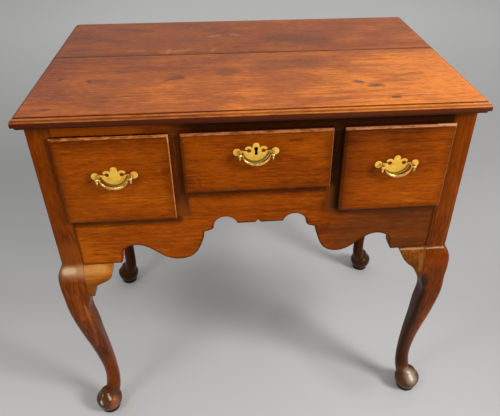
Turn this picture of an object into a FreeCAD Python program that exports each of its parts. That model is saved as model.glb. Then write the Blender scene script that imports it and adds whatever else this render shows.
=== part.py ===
import FreeCAD, Part
import math
import os

os.makedirs("parts", exist_ok=True)
V = FreeCAD.Vector

# A small dressing table (lowboy) on cabriole legs. X runs to the right seen from
# the front, the front faces -Y, Z is up. All sizes are in millimetres.

# Case and legs
CASE_WIDTH = 726.0
CASE_DEPTH = 466.0
LEG_HEIGHT = 439.0          # floor to the bottom edge of the case
CASE_HEIGHT = 283.5         # bottom edge of the case to the underside of the top
POST_SIZE = 38.0            # square corner post above each leg
POST_ARRIS = 1.2            # worn outer corner of the post
KNEE_BULGE = 12.5           # how far the knee stands out beyond the post
KNEE_SHOULDER = 26.0        # height over which the knee swells out
KNEE_INNER = 30.5           # inner face of the leg just under the knee
KNEE_ROUNDING = 8.0         # outer corner of the knee
KNEE_SIDE_ROUNDING = 1.5    # its corners beside the brackets
KNEE_INNER_ROUNDING = 3.0
BRACKET_SEAT_WASTE = 0.6    # left on beside the knee, then sawn flush for the bracket
SIDE_ROUNDING = 4.0         # side corners of the leg just below the brackets
LEG_ROUNDNESS = 0.93        # corner radius of the ankle, as a share of half its size
ANKLE_HEIGHT = 100.0        # narrowest part of the leg above the floor
ANKLE_SIZE = 28.5
ANKLE_INSET = 14.0          # outer side of the ankle, in from the post's face
FOOT_INSET = 12.0           # centre of the pad foot, in from the post's faces
PAD_RADIUS = 28.4
PAD_WIDEST = 31.0           # height of the widest part of the pad
PAD_HEIGHT = 57.0           # height at which the pad runs into the leg
PAD_NECK = 14.5             # radius there
SOLE_RADIUS = 20.5
SOLE_HEIGHT = 9.0
SOLE_CHAMFER = 1.5
LEG_RACK = 4.5              # the old frame has racked: front feet moved right, rear feet left

# Knee brackets, glued beside each knee under the case
BRACKET_LENGTH = 52.0
BRACKET_HEIGHT = 69.0
BRACKET_TOE = 11.5          # width of the bracket at its lower end
BRACKET_TIP_BULGE = 0.72    # bulge at the thin end, as a share of the knee's

# Top, two boards edge to edge with a moulded front and sides
TOP_THICKNESS = 19.5
TOP_SIDE_OVERHANG = 12.0
TOP_FRONT_OVERHANG = 21.0
TOP_BACK_OVERHANG = 13.0
FRONT_BOARD_WIDTH = 275.0
SEAM_CHAMFER = 0.7
TOP_OVOLO = 7.5
TOP_QUIRK = 1.3
TOP_CAVETTO = 5.0

# Front frame
RAIL_HEIGHT = 27.0
FRAME_THICKNESS = 22.0
MUNTIN_WIDTH = 27.6
MUNTIN_FOOT = 4.0           # the muntin stands this far below the side openings
TENON_LENGTH = 15.0
TENON_THICKNESS = 8.0
TENON_SETBACK = 7.0         # face of the frame to the near side of its tenon
TENON_SHOULDER = 6.0

# Drawer openings
SIDE_OPENING_HEIGHT = 153.5
CENTRE_OPENING_WIDTH = 240.8
CENTRE_OPENING_HEIGHT = 101.8

# Shaped lower edge of the apron, heights above the bottom edge of the case
APRON_END_FLAT = 70.5
APRON_HEEL = 4.7
APRON_HEEL_RISE = 14.0
SIDE_ARCH_RISE = 39.5
SIDE_ARCH_INSET = 34.5      # crown of the side arch, in from the heel
LOBE_RISE = 2.5
LOBE_OFFSET = 17.0          # lowest point of the lobe, out from the muntin's middle
CENTRE_CUT = 102.5          # half of the wide cut in the middle
LEDGE_RISE = 62.0
SMALL_ARCH_RISE = 93.0
SMALL_ARCH_SPACING = 126.0
SMALL_ARCH_WIDTH = 43.0
CENTRE_RISE = 78.0
SMALL_ARCH_SHIFT = 4.0      # the middle group of arches is sawn this far to the right
NOTCH_WIDTH = 9.0
NOTCH_RISE = 6.0

# Sides and back
SIDE_THICKNESS = 16.0
SIDE_FLAT = 68.0
SIDE_CUT_RISE = 24.0
BACK_THICKNESS = 12.0
BACK_SETBACK = 2.0
BACK_LOWER_EDGE = 18.0
TONGUE = 11.0

# Inside the case
PARTITION_THICKNESS = 12.0
RUNNER_WIDTH = 34.0
RUNNER_HEIGHT = 15.0
RUNNER_REACH = 12.0         # how far an inner runner reaches under its drawer
GUIDE_HEIGHT = 18.0
GUIDE_GAP = 0.6
KICKER_REACH = 10.0
BLOCK_SIZE = 15.0
BLOCK_LENGTH = 46.0
BLOCK_SPREAD = 225.0
PEG_RADIUS = 3.0
PEG_LENGTH = 22.0
PEG_CLEARANCE = 0.05
PEG_SPACING = 105.0
PEG_EDGE = 26.0

# Drawers
FIT = 0.8                   # drawer front to the sides of its opening
RUN_GAP = 0.3               # drawer side to its runner
LIP_GAP = 0.3               # back of the lip to the frame
LIP_LAP = 5.0
LIP_PROUD = 8.0
FRONT_INNER = 14.0          # drawer front behind the face of the frame
THUMB_WIDTH = 4.6
THUMB_QUIRK = 0.8
DRAWER_SIDE = 9.0
DRAWER_BACK = 9.0
DRAWER_BACK_ROOM = 14.0     # back of a drawer to the back board
BACK_DROP = 6.0
BOTTOM_THICKNESS = 7.0
BOTTOM_RAISE = 7.0
GROOVE = 4.0
GROOVE_CLEARANCE = 0.2
TAIL_PITCH = 36.0
TAIL_LENGTH = 12.0
TAIL_SHARE = 0.5            # narrow end of a dovetail, as a share of its pitch
TAIL_SLOPE = 10.0           # degrees

# Handles: a pierced plate, two posts with nuts, and a swinging bail
SIDE_HANDLE_HEIGHT = 89.0   # pivot above the bottom of the side opening
CENTRE_HANDLE_HEIGHT = 71.5
CENTRE_HANDLE_SHIFT = -3.0
PLATE_THICKNESS = 1.2
PLATE_RADIUS = 23.0
PLATE_RAISE = 3.2           # centre of the plate's round bottom above the pivots
HORN_REACH = 23.5
LOBE_WIDTH = 11.4
LOBE_TOP = 16.4
SCROLL_SPACING = 24.0
SCROLL_RADIUS = 7.9
SCROLL_HOLE = 3.5
END_LOBE_SPACING = 63.0
END_LOBE_RADIUS = 6.4
NECK_HEIGHT = 3.4
KEYHOLE_RADIUS = 3.3
KEYHOLE_DROP = 11.5
KEYHOLE_SLOT = 5.2
POST_SPACING = 54.4
PIVOT_PROUD = 13.0
BALL_RADIUS = 3.4
POST_NECK = 2.1
SHANK_RADIUS = 2.0
SHANK_CLEARANCE = 0.1
COLLAR_RADIUS = 4.0
COLLAR_THICKNESS = 1.2
FINIAL_LENGTH = 6.4
FINIAL_RADIUS = 1.9
NUT_SIZE = 8.0
NUT_THICKNESS = 2.5
SHANK_SPARE = 1.5
BAIL_DROP = 16.8
BAIL_END_GAP = 0.4          # bail arm to the ball of its post
BAIL_THIN = 1.1
BAIL_THICK = 2.6
BAIL_STEPS = 12
PIN_RADIUS = 1.1
PIN_CLEARANCE = 0.06

# Lock in the middle drawer
LOCK_WIDTH = 38.0
LOCK_HEIGHT = 44.0
LOCK_THICKNESS = 9.0
BOLT_WIDTH = 16.0
BOLT_THICKNESS = 5.0
BOLT_LENGTH = 20.0
BOLT_CLEARANCE = 0.2
BOLT_REST = 0.6             # top of the bolt below the top edge of the lock
MORTISE_CLEARANCE = 3.0
MORTISE_DEPTH = 9.0

# Places that follow from the sizes above
X_POST = CASE_WIDTH / 2
X_FRAME = X_POST - POST_SIZE
FRONT_REACH = max(TOP_FRONT_OVERHANG, LIP_PROUD + PIVOT_PROUD + BALL_RADIUS)
BACK_REACH = max(TOP_BACK_OVERHANG, KNEE_BULGE, PAD_RADIUS - FOOT_INSET)
Y_FRONT = (FRONT_REACH - BACK_REACH - CASE_DEPTH) / 2
Y_BACK = Y_FRONT + CASE_DEPTH
Y_MIDDLE = (Y_FRONT + Y_BACK) / 2
CASE_TOP = LEG_HEIGHT + CASE_HEIGHT
RAIL_BOTTOM = CASE_TOP - RAIL_HEIGHT
SIDE_OPENING_BOTTOM = RAIL_BOTTOM - SIDE_OPENING_HEIGHT
CENTRE_OPENING_BOTTOM = RAIL_BOTTOM - CENTRE_OPENING_HEIGHT
X_CENTRE_OPENING = CENTRE_OPENING_WIDTH / 2
X_SIDE_OPENING = X_CENTRE_OPENING + MUNTIN_WIDTH
X_MUNTIN = X_CENTRE_OPENING + MUNTIN_WIDTH / 2
Y_FRAME_BACK = Y_FRONT + FRAME_THICKNESS
Y_BACK_PANEL = Y_BACK - BACK_SETBACK - BACK_THICKNESS
Y_DRAWER_BACK = Y_BACK_PANEL - DRAWER_BACK_ROOM
Y_FACE = Y_FRONT - LIP_PROUD
Y_PIVOT = Y_FACE - PIVOT_PROUD
X_SIDE_INNER = X_POST - SIDE_THICKNESS
DOWN = V(0, 0, -1)
PAST = 5.0                  # how far a cutter reaches past what it cuts


def box(x0, x1, y0, y1, z0, z1):
    return Part.makeBox(x1 - x0, y1 - y0, z1 - z0, V(x0, y0, z0))


def outline(place, start, moves):
    """A face bounded by lines, arcs and curves; place turns (a, b) into a point."""
    edges = []
    here = start
    for kind, *points in moves:
        ends = [place(*point) for point in [here] + points]
        if kind == "line":
            edges += [Part.makeLine(p, q) for p, q in zip(ends, ends[1:])]
        elif kind == "arc":
            edges.append(Part.Arc(*ends).toShape())
        else:
            curve = Part.BSplineCurve()
            curve.interpolate(ends)
            edges.append(curve.toShape())
        here = points[-1]
    return Part.Face(Part.Wire(edges))


def cylinder(radius, start, along):
    return Part.makeCylinder(radius, along.Length, start, along)


def mirror_x(shape):
    return shape.mirror(V(0, 0, 0), V(1, 0, 0))


def mirror_y(shape):
    return shape.mirror(V(0, Y_MIDDLE, 0), V(0, 1, 0))


def both_sides(shape):
    return [shape, mirror_x(shape)]


def save(name, shape):
    shape.exportStep(f"parts/{name}.step")


def ease(share):
    return (1 - math.cos(math.pi * share)) / 2


# Cabriole leg, drawn as the front left one

def knee_outline():
    """Height below the case and bulge of the knee, from the shoulder down."""
    return [(0.0, 0.0), (0.3 * KNEE_SHOULDER, 0.47 * KNEE_BULGE),
            (0.8 * KNEE_SHOULDER, 0.88 * KNEE_BULGE), (1.5 * KNEE_SHOULDER, KNEE_BULGE),
            (0.8 * BRACKET_HEIGHT, KNEE_BULGE), (BRACKET_HEIGHT, 0.95 * KNEE_BULGE)]


def leg_section(height, outer, inner, outer_radius, side_radius, inner_radius, rack=0.0):
    """Square section with rounded corners; outer and inner are insets from the faces."""
    corners = [(outer, outer, outer_radius), (inner, outer, side_radius),
               (inner, inner, inner_radius), (outer, inner, side_radius)]
    centre = (outer + inner) / 2
    edges = []
    ends = []
    for u, v, radius in corners:
        toward_u = math.copysign(radius, centre - u)
        toward_v = math.copysign(radius, centre - v)
        bend = 1 - math.sqrt(0.5)
        middle = (u + toward_u * bend, v + toward_v * bend)
        points = [(u, v + toward_v), middle, (u + toward_u, v)]
        if (toward_u > 0) != (toward_v > 0):
            points.reverse()
        points = [V(a - X_POST + rack, b + Y_FRONT, height) for a, b in points]
        ends.append(points)
    for points, following in zip(ends, ends[1:] + ends[:1]):
        edges.append(Part.Arc(*points).toShape())
        edges.append(Part.makeLine(points[2], following[0]))
    return Part.Wire(edges)


def leg_shaft(rack):
    """The turned-in S of the leg from the knee down into the pad."""
    seat = POST_SIZE + BRACKET_SEAT_WASTE
    sections = []
    for below, bulge in knee_outline():
        sections.append(leg_section(LEG_HEIGHT - below, -bulge, seat, KNEE_ROUNDING,
                                    KNEE_SIDE_ROUNDING, KNEE_INNER_ROUNDING))
    top = LEG_HEIGHT - BRACKET_HEIGHT
    ankle_inner = ANKLE_INSET + ANKLE_SIZE
    for share in (0.12, 0.28, 0.45, 0.62, 0.8, 1.0):
        height = top + (ANKLE_HEIGHT - top) * share
        outer = -KNEE_BULGE + (ANKLE_INSET + KNEE_BULGE) * ease(share ** 1.08)
        inner = KNEE_INNER + (ankle_inner - KNEE_INNER) * ease(share)
        half = (inner - outer) / 2
        radius = KNEE_ROUNDING + (LEG_ROUNDNESS * half - KNEE_ROUNDING) * share
        side = SIDE_ROUNDING + (LEG_ROUNDNESS * half - SIDE_ROUNDING) * share
        sections.append(leg_section(height, outer, inner, radius, side, side,
                                    rack * share ** 0.6))
    heel = FOOT_INSET + PAD_RADIUS
    for rise, outer_share, inner_share in ((1.2, 0.75, 1.02), (0.66, 0.41, 0.86)):
        outer = outer_share * ANKLE_INSET
        inner = inner_share * heel
        round_off = LEG_ROUNDNESS * (inner - outer) / 2
        sections.append(leg_section(rise * PAD_HEIGHT, outer, inner,
                                    round_off, round_off, round_off, rack))
    return Part.makeLoft(sections, True, False)


def pad_foot(rack):
    """Round pad that flares out below the ankle, with a smaller sole under it."""
    flare = PAD_RADIUS - PAD_NECK
    rise = PAD_HEIGHT - PAD_WIDEST
    belly = PAD_WIDEST - SOLE_HEIGHT
    face = outline(lambda r, z: V(r, 0, z), (0, 0), [
        ("line", (SOLE_RADIUS - SOLE_CHAMFER, 0), (SOLE_RADIUS, SOLE_CHAMFER)),
        ("line", (SOLE_RADIUS, SOLE_HEIGHT), (PAD_RADIUS - 0.35 * belly, SOLE_HEIGHT)),
        ("arc", (PAD_RADIUS - 0.1 * belly, SOLE_HEIGHT + 0.45 * belly), (PAD_RADIUS, PAD_WIDEST)),
        ("arc", (PAD_RADIUS - 0.08 * flare, PAD_WIDEST + 0.22 * rise),
         (PAD_RADIUS - 0.33 * flare, PAD_WIDEST + 0.42 * rise)),
        ("arc", (PAD_RADIUS - 0.76 * flare, PAD_WIDEST + 0.69 * rise), (PAD_NECK, PAD_HEIGHT)),
        ("line", (0, PAD_HEIGHT), (0, 0))])
    pad = face.revolve(V(0, 0, 0), V(0, 0, 1), 360)
    pad.translate(V(FOOT_INSET - X_POST + rack, FOOT_INSET + Y_FRONT, 0))
    return pad


def post():
    face = outline(lambda u, v: V(u - X_POST, v + Y_FRONT, LEG_HEIGHT), (POST_ARRIS, 0), [
        ("line", (POST_SIZE, 0), (POST_SIZE, POST_SIZE), (0, POST_SIZE), (0, POST_ARRIS)),
        ("arc", (POST_ARRIS * 0.3, POST_ARRIS * 0.3), (POST_ARRIS, 0))])
    return face.extrude(V(0, 0, CASE_HEIGHT))


def leg(rack):
    shaft = leg_shaft(rack)
    low = LEG_HEIGHT - BRACKET_HEIGHT
    seat = POST_SIZE - X_POST
    shaft = shaft.cut(box(seat, seat + PAST, Y_FRONT - 2 * KNEE_BULGE,
                          Y_FRONT + POST_SIZE + PAST, low, LEG_HEIGHT + PAST))
    seat = POST_SIZE + Y_FRONT
    shaft = shaft.cut(box(-X_POST - 2 * KNEE_BULGE, POST_SIZE + PAST - X_POST,
                          seat, seat + PAST, low, LEG_HEIGHT + PAST))
    return shaft.fuse([pad_foot(rack), post()]).removeSplitter()


# Knee bracket, drawn beside the front left knee

def bracket_end(distance, share):
    """Side profile of the knee at a distance along the front, as a closed wire."""
    x = POST_SIZE + distance - X_POST
    front = [V(x, Y_FRONT - bulge * share, LEG_HEIGHT - below) for below, bulge in knee_outline()]
    curve = Part.BSplineCurve()
    curve.interpolate(front)
    back_low = V(x, Y_FRONT + FRAME_THICKNESS, LEG_HEIGHT - BRACKET_HEIGHT)
    back_top = V(x, Y_FRONT + FRAME_THICKNESS, LEG_HEIGHT)
    return Part.Wire([curve.toShape(), Part.makeLine(front[-1], back_low),
                      Part.makeLine(back_low, back_top), Part.makeLine(back_top, front[0])])


def square_end(length, drop):
    """Moves along the sawn edge of a bracket with a square end, from its tip inwards."""
    return [("line", (0.965 * length, 0.27 * drop)),
            ("arc", (0.91 * length, 0.41 * drop), (0.76 * length, 0.5 * drop)),
            ("line", (0.37 * length, 0.64 * drop)),
            ("arc", (0.27 * length, 0.7 * drop), (0.24 * length, 0.8 * drop)),
            ("line", (BRACKET_TOE, drop))]


def sloping_end(length, drop):
    """The same for the bracket that was cut to a plain sloping curve."""
    return [("curve", (0.84 * length, 0.3 * drop), (0.62 * length, 0.5 * drop),
             (0.42 * length, 0.63 * drop), (0.3 * length, 0.77 * drop),
             (0.2 * length, 0.93 * drop)),
            ("line", (0.6 * BRACKET_TOE, drop))]


def knee_bracket(sawn_edge):
    length = BRACKET_LENGTH
    drop = BRACKET_HEIGHT
    block = Part.makeLoft([bracket_end(0, 1.0), bracket_end(length, BRACKET_TIP_BULGE)],
                          True, True)
    face = outline(lambda t, d: V(POST_SIZE + t - X_POST, Y_FRONT - 2 * KNEE_BULGE,
                                  LEG_HEIGHT - d), (0, 0),
                   [("line", (length, 0)), *sawn_edge(length, drop),
                    ("line", (0, drop), (0, 0))])
    return block.common(face.extrude(V(0, 2 * KNEE_BULGE + FRAME_THICKNESS, 0)))


def side_bracket(front_bracket):
    """The same bracket turned to the side of the leg, cut to the side board's thickness."""
    corner = V(-X_POST, Y_FRONT, 0)
    turned = front_bracket.mirror(corner, V(1, -1, 0))
    return turned.common(box(-X_POST - 2 * KNEE_BULGE, SIDE_THICKNESS - X_POST,
                             Y_FRONT, Y_BACK, 0, CASE_TOP))


# Top boards

def edge_cutter(corner, inward, into, along, start, moves):
    """What a moulding plane takes off an edge that runs from corner along a vector."""
    past = V(along).normalize() * PAST
    face = outline(lambda a, b: corner - past + inward * a + into * b, start, moves)
    return face.extrude(along + past * 2)


def ovolo_moves(radius, quirk):
    bend = radius * (1 - math.sqrt(0.5))
    return (-PAST, -PAST), [
        ("line", (radius, -PAST), (radius, quirk)),
        ("arc", (bend, quirk + bend), (0, quirk + radius)),
        ("line", (-PAST, quirk + radius), (-PAST, -PAST))]


def cavetto_moves(radius, low):
    bend = radius * math.sqrt(0.5)
    return (-PAST, low - radius), [
        ("line", (0, low - radius)),
        ("arc", (bend, low - bend), (radius, low)),
        ("line", (radius, low + PAST), (-PAST, low + PAST), (-PAST, low - radius))]


def top_boards():
    x0 = X_POST + TOP_SIDE_OVERHANG
    y0 = Y_FRONT - TOP_FRONT_OVERHANG
    y1 = Y_BACK + TOP_BACK_OVERHANG
    seam = y0 + FRONT_BOARD_WIDTH
    surface = CASE_TOP + TOP_THICKNESS
    cutters = []
    for start, moves in (ovolo_moves(TOP_OVOLO, TOP_QUIRK),
                         cavetto_moves(TOP_CAVETTO, TOP_THICKNESS)):
        cutters.append(edge_cutter(V(-x0, y0, surface), V(0, 1, 0), DOWN, V(2 * x0, 0, 0),
                                   start, moves))
        for side in (-1, 1):
            cutters.append(edge_cutter(V(side * x0, y0, surface), V(-side, 0, 0), DOWN,
                                       V(0, y1 - y0, 0), start, moves))
    groove = outline(lambda a, b: V(-x0 - PAST, seam + a, surface - b), (-2 * SEAM_CHAMFER, 0), [
        ("line", (-2 * SEAM_CHAMFER, -PAST), (2 * SEAM_CHAMFER, -PAST), (2 * SEAM_CHAMFER, 0)),
        ("line", (0, 2 * SEAM_CHAMFER), (-2 * SEAM_CHAMFER, 0))])
    cutters.append(groove.extrude(V(2 * (x0 + PAST), 0, 0)))
    front = box(-x0, x0, y0, seam, CASE_TOP, surface).cut(cutters)
    rear = box(-x0, x0, seam, y1, CASE_TOP, surface).cut(cutters)
    return front, rear


# Front frame

def frame_tenon(x0, x1, z0, z1):
    y0 = Y_FRONT + TENON_SETBACK
    return box(x0, x1, y0, y0 + TENON_THICKNESS, z0, z1)


def top_rail():
    rail = box(-X_FRAME, X_FRAME, Y_FRONT, Y_FRAME_BACK, RAIL_BOTTOM, CASE_TOP)
    reach = X_FRAME + TENON_LENGTH
    rail = rail.fuse(frame_tenon(-reach, reach, RAIL_BOTTOM + TENON_SHOULDER,
                                 CASE_TOP - TENON_SHOULDER)).removeSplitter()
    middle = CENTRE_HANDLE_SHIFT
    half = BOLT_WIDTH / 2 + MORTISE_CLEARANCE
    bolt_y = Y_FRONT + FRONT_INNER - LOCK_THICKNESS / 2
    deep = BOLT_THICKNESS / 2 + MORTISE_CLEARANCE
    return rail.cut(box(middle - half, middle + half, bolt_y - deep, bolt_y + deep,
                        RAIL_BOTTOM - PAST, RAIL_BOTTOM + MORTISE_DEPTH))


def muntin():
    """Upright between the left and the middle drawer."""
    upright = box(-X_SIDE_OPENING, -X_CENTRE_OPENING, Y_FRONT, Y_FRAME_BACK,
                  SIDE_OPENING_BOTTOM - MUNTIN_FOOT, RAIL_BOTTOM)
    tenon = frame_tenon(-X_SIDE_OPENING + TENON_SHOULDER, -X_CENTRE_OPENING - TENON_SHOULDER,
                        SIDE_OPENING_BOTTOM - MUNTIN_FOOT - TENON_LENGTH,
                        RAIL_BOTTOM + TENON_LENGTH)
    return upright.fuse(tenon).removeSplitter()


def apron_half(shift):
    """Right half of the shaped board, from the middle notch out to the post."""
    small = SMALL_ARCH_SPACING / 2 + shift
    inner = small - SMALL_ARCH_WIDTH / 2
    outer = small + SMALL_ARCH_WIDTH / 2
    lobe = X_MUNTIN + LOBE_OFFSET
    heel = X_FRAME - APRON_END_FLAT
    crown = heel - SIDE_ARCH_INSET
    flank = CENTRE_CUT + shift
    lobe_curve = [(flank + 0.13 * (lobe - flank), 0.6 * LEDGE_RISE - 4),
                  (flank + 0.41 * (lobe - flank), LOBE_RISE + 8.5),
                  (lobe, LOBE_RISE),
                  (lobe + 0.3 * (crown - lobe), LOBE_RISE + 0.19 * (SIDE_ARCH_RISE - LOBE_RISE)),
                  (lobe + 0.58 * (crown - lobe), LOBE_RISE + 0.6 * (SIDE_ARCH_RISE - LOBE_RISE)),
                  (crown, SIDE_ARCH_RISE),
                  (heel - 0.45 * SIDE_ARCH_INSET, 0.9 * SIDE_ARCH_RISE),
                  (heel - APRON_HEEL, 0.6 * SIDE_ARCH_RISE)]
    top = SIDE_OPENING_BOTTOM - LEG_HEIGHT
    tongue = CENTRE_OPENING_BOTTOM - LEG_HEIGHT
    return outline(lambda a, b: V(a, Y_FRONT, LEG_HEIGHT + b), (0, CENTRE_RISE + NOTCH_RISE), [
        ("line", (NOTCH_WIDTH / 2, CENTRE_RISE), (inner, CENTRE_RISE)),
        ("arc", (small - 0.1 * SMALL_ARCH_WIDTH, SMALL_ARCH_RISE), (outer, LEDGE_RISE + 7)),
        ("line", (outer + 5, LEDGE_RISE + 3.5), (flank, LEDGE_RISE), (flank, LEDGE_RISE - 10)),
        ("curve", *lobe_curve),
        ("line", (heel - APRON_HEEL, APRON_HEEL_RISE)),
        ("arc", (heel - 0.7 * APRON_HEEL, 0.45 * APRON_HEEL_RISE), (heel, 0)),
        ("line", (X_FRAME, 0), (X_FRAME, top), (X_SIDE_OPENING, top)),
        ("line", (X_SIDE_OPENING, top - MUNTIN_FOOT), (X_CENTRE_OPENING, top - MUNTIN_FOOT)),
        ("line", (X_CENTRE_OPENING, tongue), (0, tongue), (0, CENTRE_RISE + NOTCH_RISE))])


def apron(muntins):
    through = V(0, FRAME_THICKNESS, 0)
    right = apron_half(SMALL_ARCH_SHIFT).extrude(through)
    left = mirror_x(apron_half(-SMALL_ARCH_SHIFT).extrude(through))
    board = right.fuse(left).removeSplitter()
    reach = X_FRAME + TENON_LENGTH
    for side in (-1, 1):
        ends = sorted((side * (X_FRAME - PAST), side * reach))
        board = board.fuse(frame_tenon(ends[0], ends[1], LEG_HEIGHT + TENON_SHOULDER,
                                       SIDE_OPENING_BOTTOM - TENON_SHOULDER))
    return board.removeSplitter().cut(muntins)


# Sides, back and what carries the drawers

def side_panel():
    y0 = Y_FRONT + POST_SIZE
    y1 = Y_BACK - POST_SIZE
    rise = SIDE_CUT_RISE
    face = outline(lambda a, b: V(-X_POST, a, LEG_HEIGHT + b), (y0, 0), [
        ("line", (y0 + SIDE_FLAT, 0)),
        ("arc", (y0 + SIDE_FLAT + 0.3 * rise, 0.7 * rise), (y0 + SIDE_FLAT + rise, rise)),
        ("line", (y1 - SIDE_FLAT - rise, rise)),
        ("arc", (y1 - SIDE_FLAT - 0.3 * rise, 0.7 * rise), (y1 - SIDE_FLAT, 0)),
        ("line", (y1, 0), (y1, CASE_HEIGHT), (y0, CASE_HEIGHT), (y0, 0))])
    board = face.extrude(V(SIDE_THICKNESS, 0, 0))
    x0 = (SIDE_THICKNESS - TENON_THICKNESS) / 2 - X_POST
    tongue = box(x0, x0 + TENON_THICKNESS, y0 - TONGUE, y1 + TONGUE,
                 LEG_HEIGHT + rise, CASE_TOP - TENON_SHOULDER)
    return board.fuse(tongue).removeSplitter()


def back_panel():
    reach = X_FRAME + TONGUE
    return box(-reach, reach, Y_BACK_PANEL, Y_BACK_PANEL + BACK_THICKNESS,
               LEG_HEIGHT + BACK_LOWER_EDGE, CASE_TOP)


def partition():
    """Upright board from the left muntin to the back."""
    half = PARTITION_THICKNESS / 2
    return box(-X_MUNTIN - half, -X_MUNTIN + half, Y_FRAME_BACK, Y_BACK_PANEL,
               SIDE_OPENING_BOTTOM - RUNNER_HEIGHT, RAIL_BOTTOM)


def side_drawer_runners():
    """Outer runner on the side board, inner runner on the partition."""
    top = SIDE_OPENING_BOTTOM
    outer = box(-X_SIDE_INNER, RUNNER_WIDTH - X_SIDE_INNER, Y_FRAME_BACK, Y_BACK_PANEL,
                top - RUNNER_HEIGHT, top)
    corner = box(-X_POST, -X_FRAME, Y_FRONT, Y_FRONT + POST_SIZE, 0, CASE_TOP)
    outer = outer.cut([corner, mirror_y(corner)])
    inner = box(-X_SIDE_OPENING - RUNNER_REACH, -X_MUNTIN - PARTITION_THICKNESS / 2,
                Y_FRAME_BACK, Y_BACK_PANEL, top - RUNNER_HEIGHT, top)
    return [outer, inner]


def centre_drawer_runners():
    top = CENTRE_OPENING_BOTTOM
    left = box(-X_MUNTIN + PARTITION_THICKNESS / 2, -X_CENTRE_OPENING + RUNNER_REACH,
               Y_FRAME_BACK, Y_BACK_PANEL, top - RUNNER_HEIGHT, top)
    return both_sides(left)


def guides():
    """Strips beside the drawers, standing on the runners."""
    low = SIDE_OPENING_BOTTOM
    outer = box(-X_SIDE_INNER, -X_FRAME - GUIDE_GAP, Y_FRONT + POST_SIZE, Y_BACK - POST_SIZE,
                low, low + GUIDE_HEIGHT)
    half = PARTITION_THICKNESS / 2
    inner = box(-X_SIDE_OPENING + GUIDE_GAP, -X_MUNTIN - half, Y_FRAME_BACK, Y_BACK_PANEL,
                low, low + GUIDE_HEIGHT)
    low = CENTRE_OPENING_BOTTOM
    centre = box(-X_MUNTIN + half, -X_CENTRE_OPENING - GUIDE_GAP, Y_FRAME_BACK, Y_BACK_PANEL,
                 low, low + GUIDE_HEIGHT)
    return [piece for strip in (outer, inner, centre) for piece in both_sides(strip)]


def kickers():
    """Strips under the top that stop an open drawer from tipping."""
    over_side = box(-X_SIDE_INNER, -X_FRAME + KICKER_REACH, Y_FRONT + POST_SIZE,
                    Y_BACK - POST_SIZE, RAIL_BOTTOM, CASE_TOP)
    over_partition = box(-X_SIDE_OPENING - KICKER_REACH, -X_CENTRE_OPENING + KICKER_REACH,
                         Y_FRAME_BACK, Y_BACK_PANEL, RAIL_BOTTOM, CASE_TOP)
    return [piece for strip in (over_side, over_partition) for piece in both_sides(strip)]


def glue_blocks():
    """Rubbed blocks behind the brackets and behind the top rail."""
    half = BLOCK_LENGTH / 2
    low = LEG_HEIGHT - half
    front = box(-X_FRAME, -X_FRAME + BLOCK_SIZE, Y_FRAME_BACK, Y_FRAME_BACK + BLOCK_SIZE,
                low, low + BLOCK_LENGTH)
    y0 = Y_FRONT + POST_SIZE
    side = box(-X_SIDE_INNER, BLOCK_SIZE - X_SIDE_INNER, y0, y0 + BLOCK_SIZE,
               low, low + BLOCK_LENGTH)
    blocks = [front, side, mirror_y(side)]
    blocks = [piece for block in blocks for piece in both_sides(block)]
    for middle in (-BLOCK_SPREAD, BLOCK_SPREAD):
        blocks.append(box(middle - half, middle + half, Y_FRAME_BACK, Y_FRAME_BACK + BLOCK_SIZE,
                          CASE_TOP - BLOCK_SIZE, CASE_TOP))
    return blocks


def pegs(radius):
    """Oak pegs through the posts and the tongues of the side boards."""
    found = []
    count = int((CASE_HEIGHT - 2 * PEG_EDGE) / PEG_SPACING) + 1
    for step in range(count):
        height = CASE_TOP - PEG_EDGE - step * PEG_SPACING
        for y in (Y_FRONT + POST_SIZE - TONGUE / 2, Y_BACK - POST_SIZE + TONGUE / 2):
            found += both_sides(cylinder(radius, V(-X_POST, y, height), V(PEG_LENGTH, 0, 0)))
    return found


# Drawers

def tails(x0, x1, root, tip, z0, z1):
    """Dovetails through a side board, wider at the tip than at the root."""
    count = max(1, round((z1 - z0) / TAIL_PITCH))
    pitch = (z1 - z0) / count
    narrow = TAIL_SHARE * pitch / 2
    wide = narrow + abs(tip - root) * math.tan(math.radians(TAIL_SLOPE))
    found = []
    for step in range(count):
        middle = z0 + pitch * (step + 0.5)
        corners = [V(x0, root, middle - narrow), V(x0, tip, middle - wide),
                   V(x0, tip, middle + wide), V(x0, root, middle + narrow)]
        face = Part.Face(Part.makePolygon(corners + corners[:1]))
        found.append(face.extrude(V(x1 - x0, 0, 0)))
    return found


def lip_section(place, low, high):
    """Section through a lip: a flat face with a step and a quarter round at each edge."""
    step = Y_FACE + THUMB_QUIRK
    edge = step + THUMB_WIDTH
    back = Y_FRONT - LIP_GAP
    bend = THUMB_WIDTH * (1 - math.sqrt(0.5))
    return outline(place, (low + THUMB_WIDTH, Y_FACE), [
        ("line", (high - THUMB_WIDTH, Y_FACE), (high - THUMB_WIDTH, step)),
        ("arc", (high - bend, step + bend), (high, edge)),
        ("line", (high, back), (low, back), (low, edge)),
        ("arc", (low + bend, step + bend), (low + THUMB_WIDTH, step)),
        ("line", (low + THUMB_WIDTH, Y_FACE))])


def drawer_lip(x0, x1, z0, z1):
    """The board in front of the frame, thumb moulded on all four edges."""
    across = lip_section(lambda x, y: V(x, y, z0), x0, x1).extrude(V(0, 0, z1 - z0))
    upright = lip_section(lambda z, y: V(x0, y, z), z0, z1).extrude(V(x1 - x0, 0, 0))
    return across.common(upright)


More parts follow.
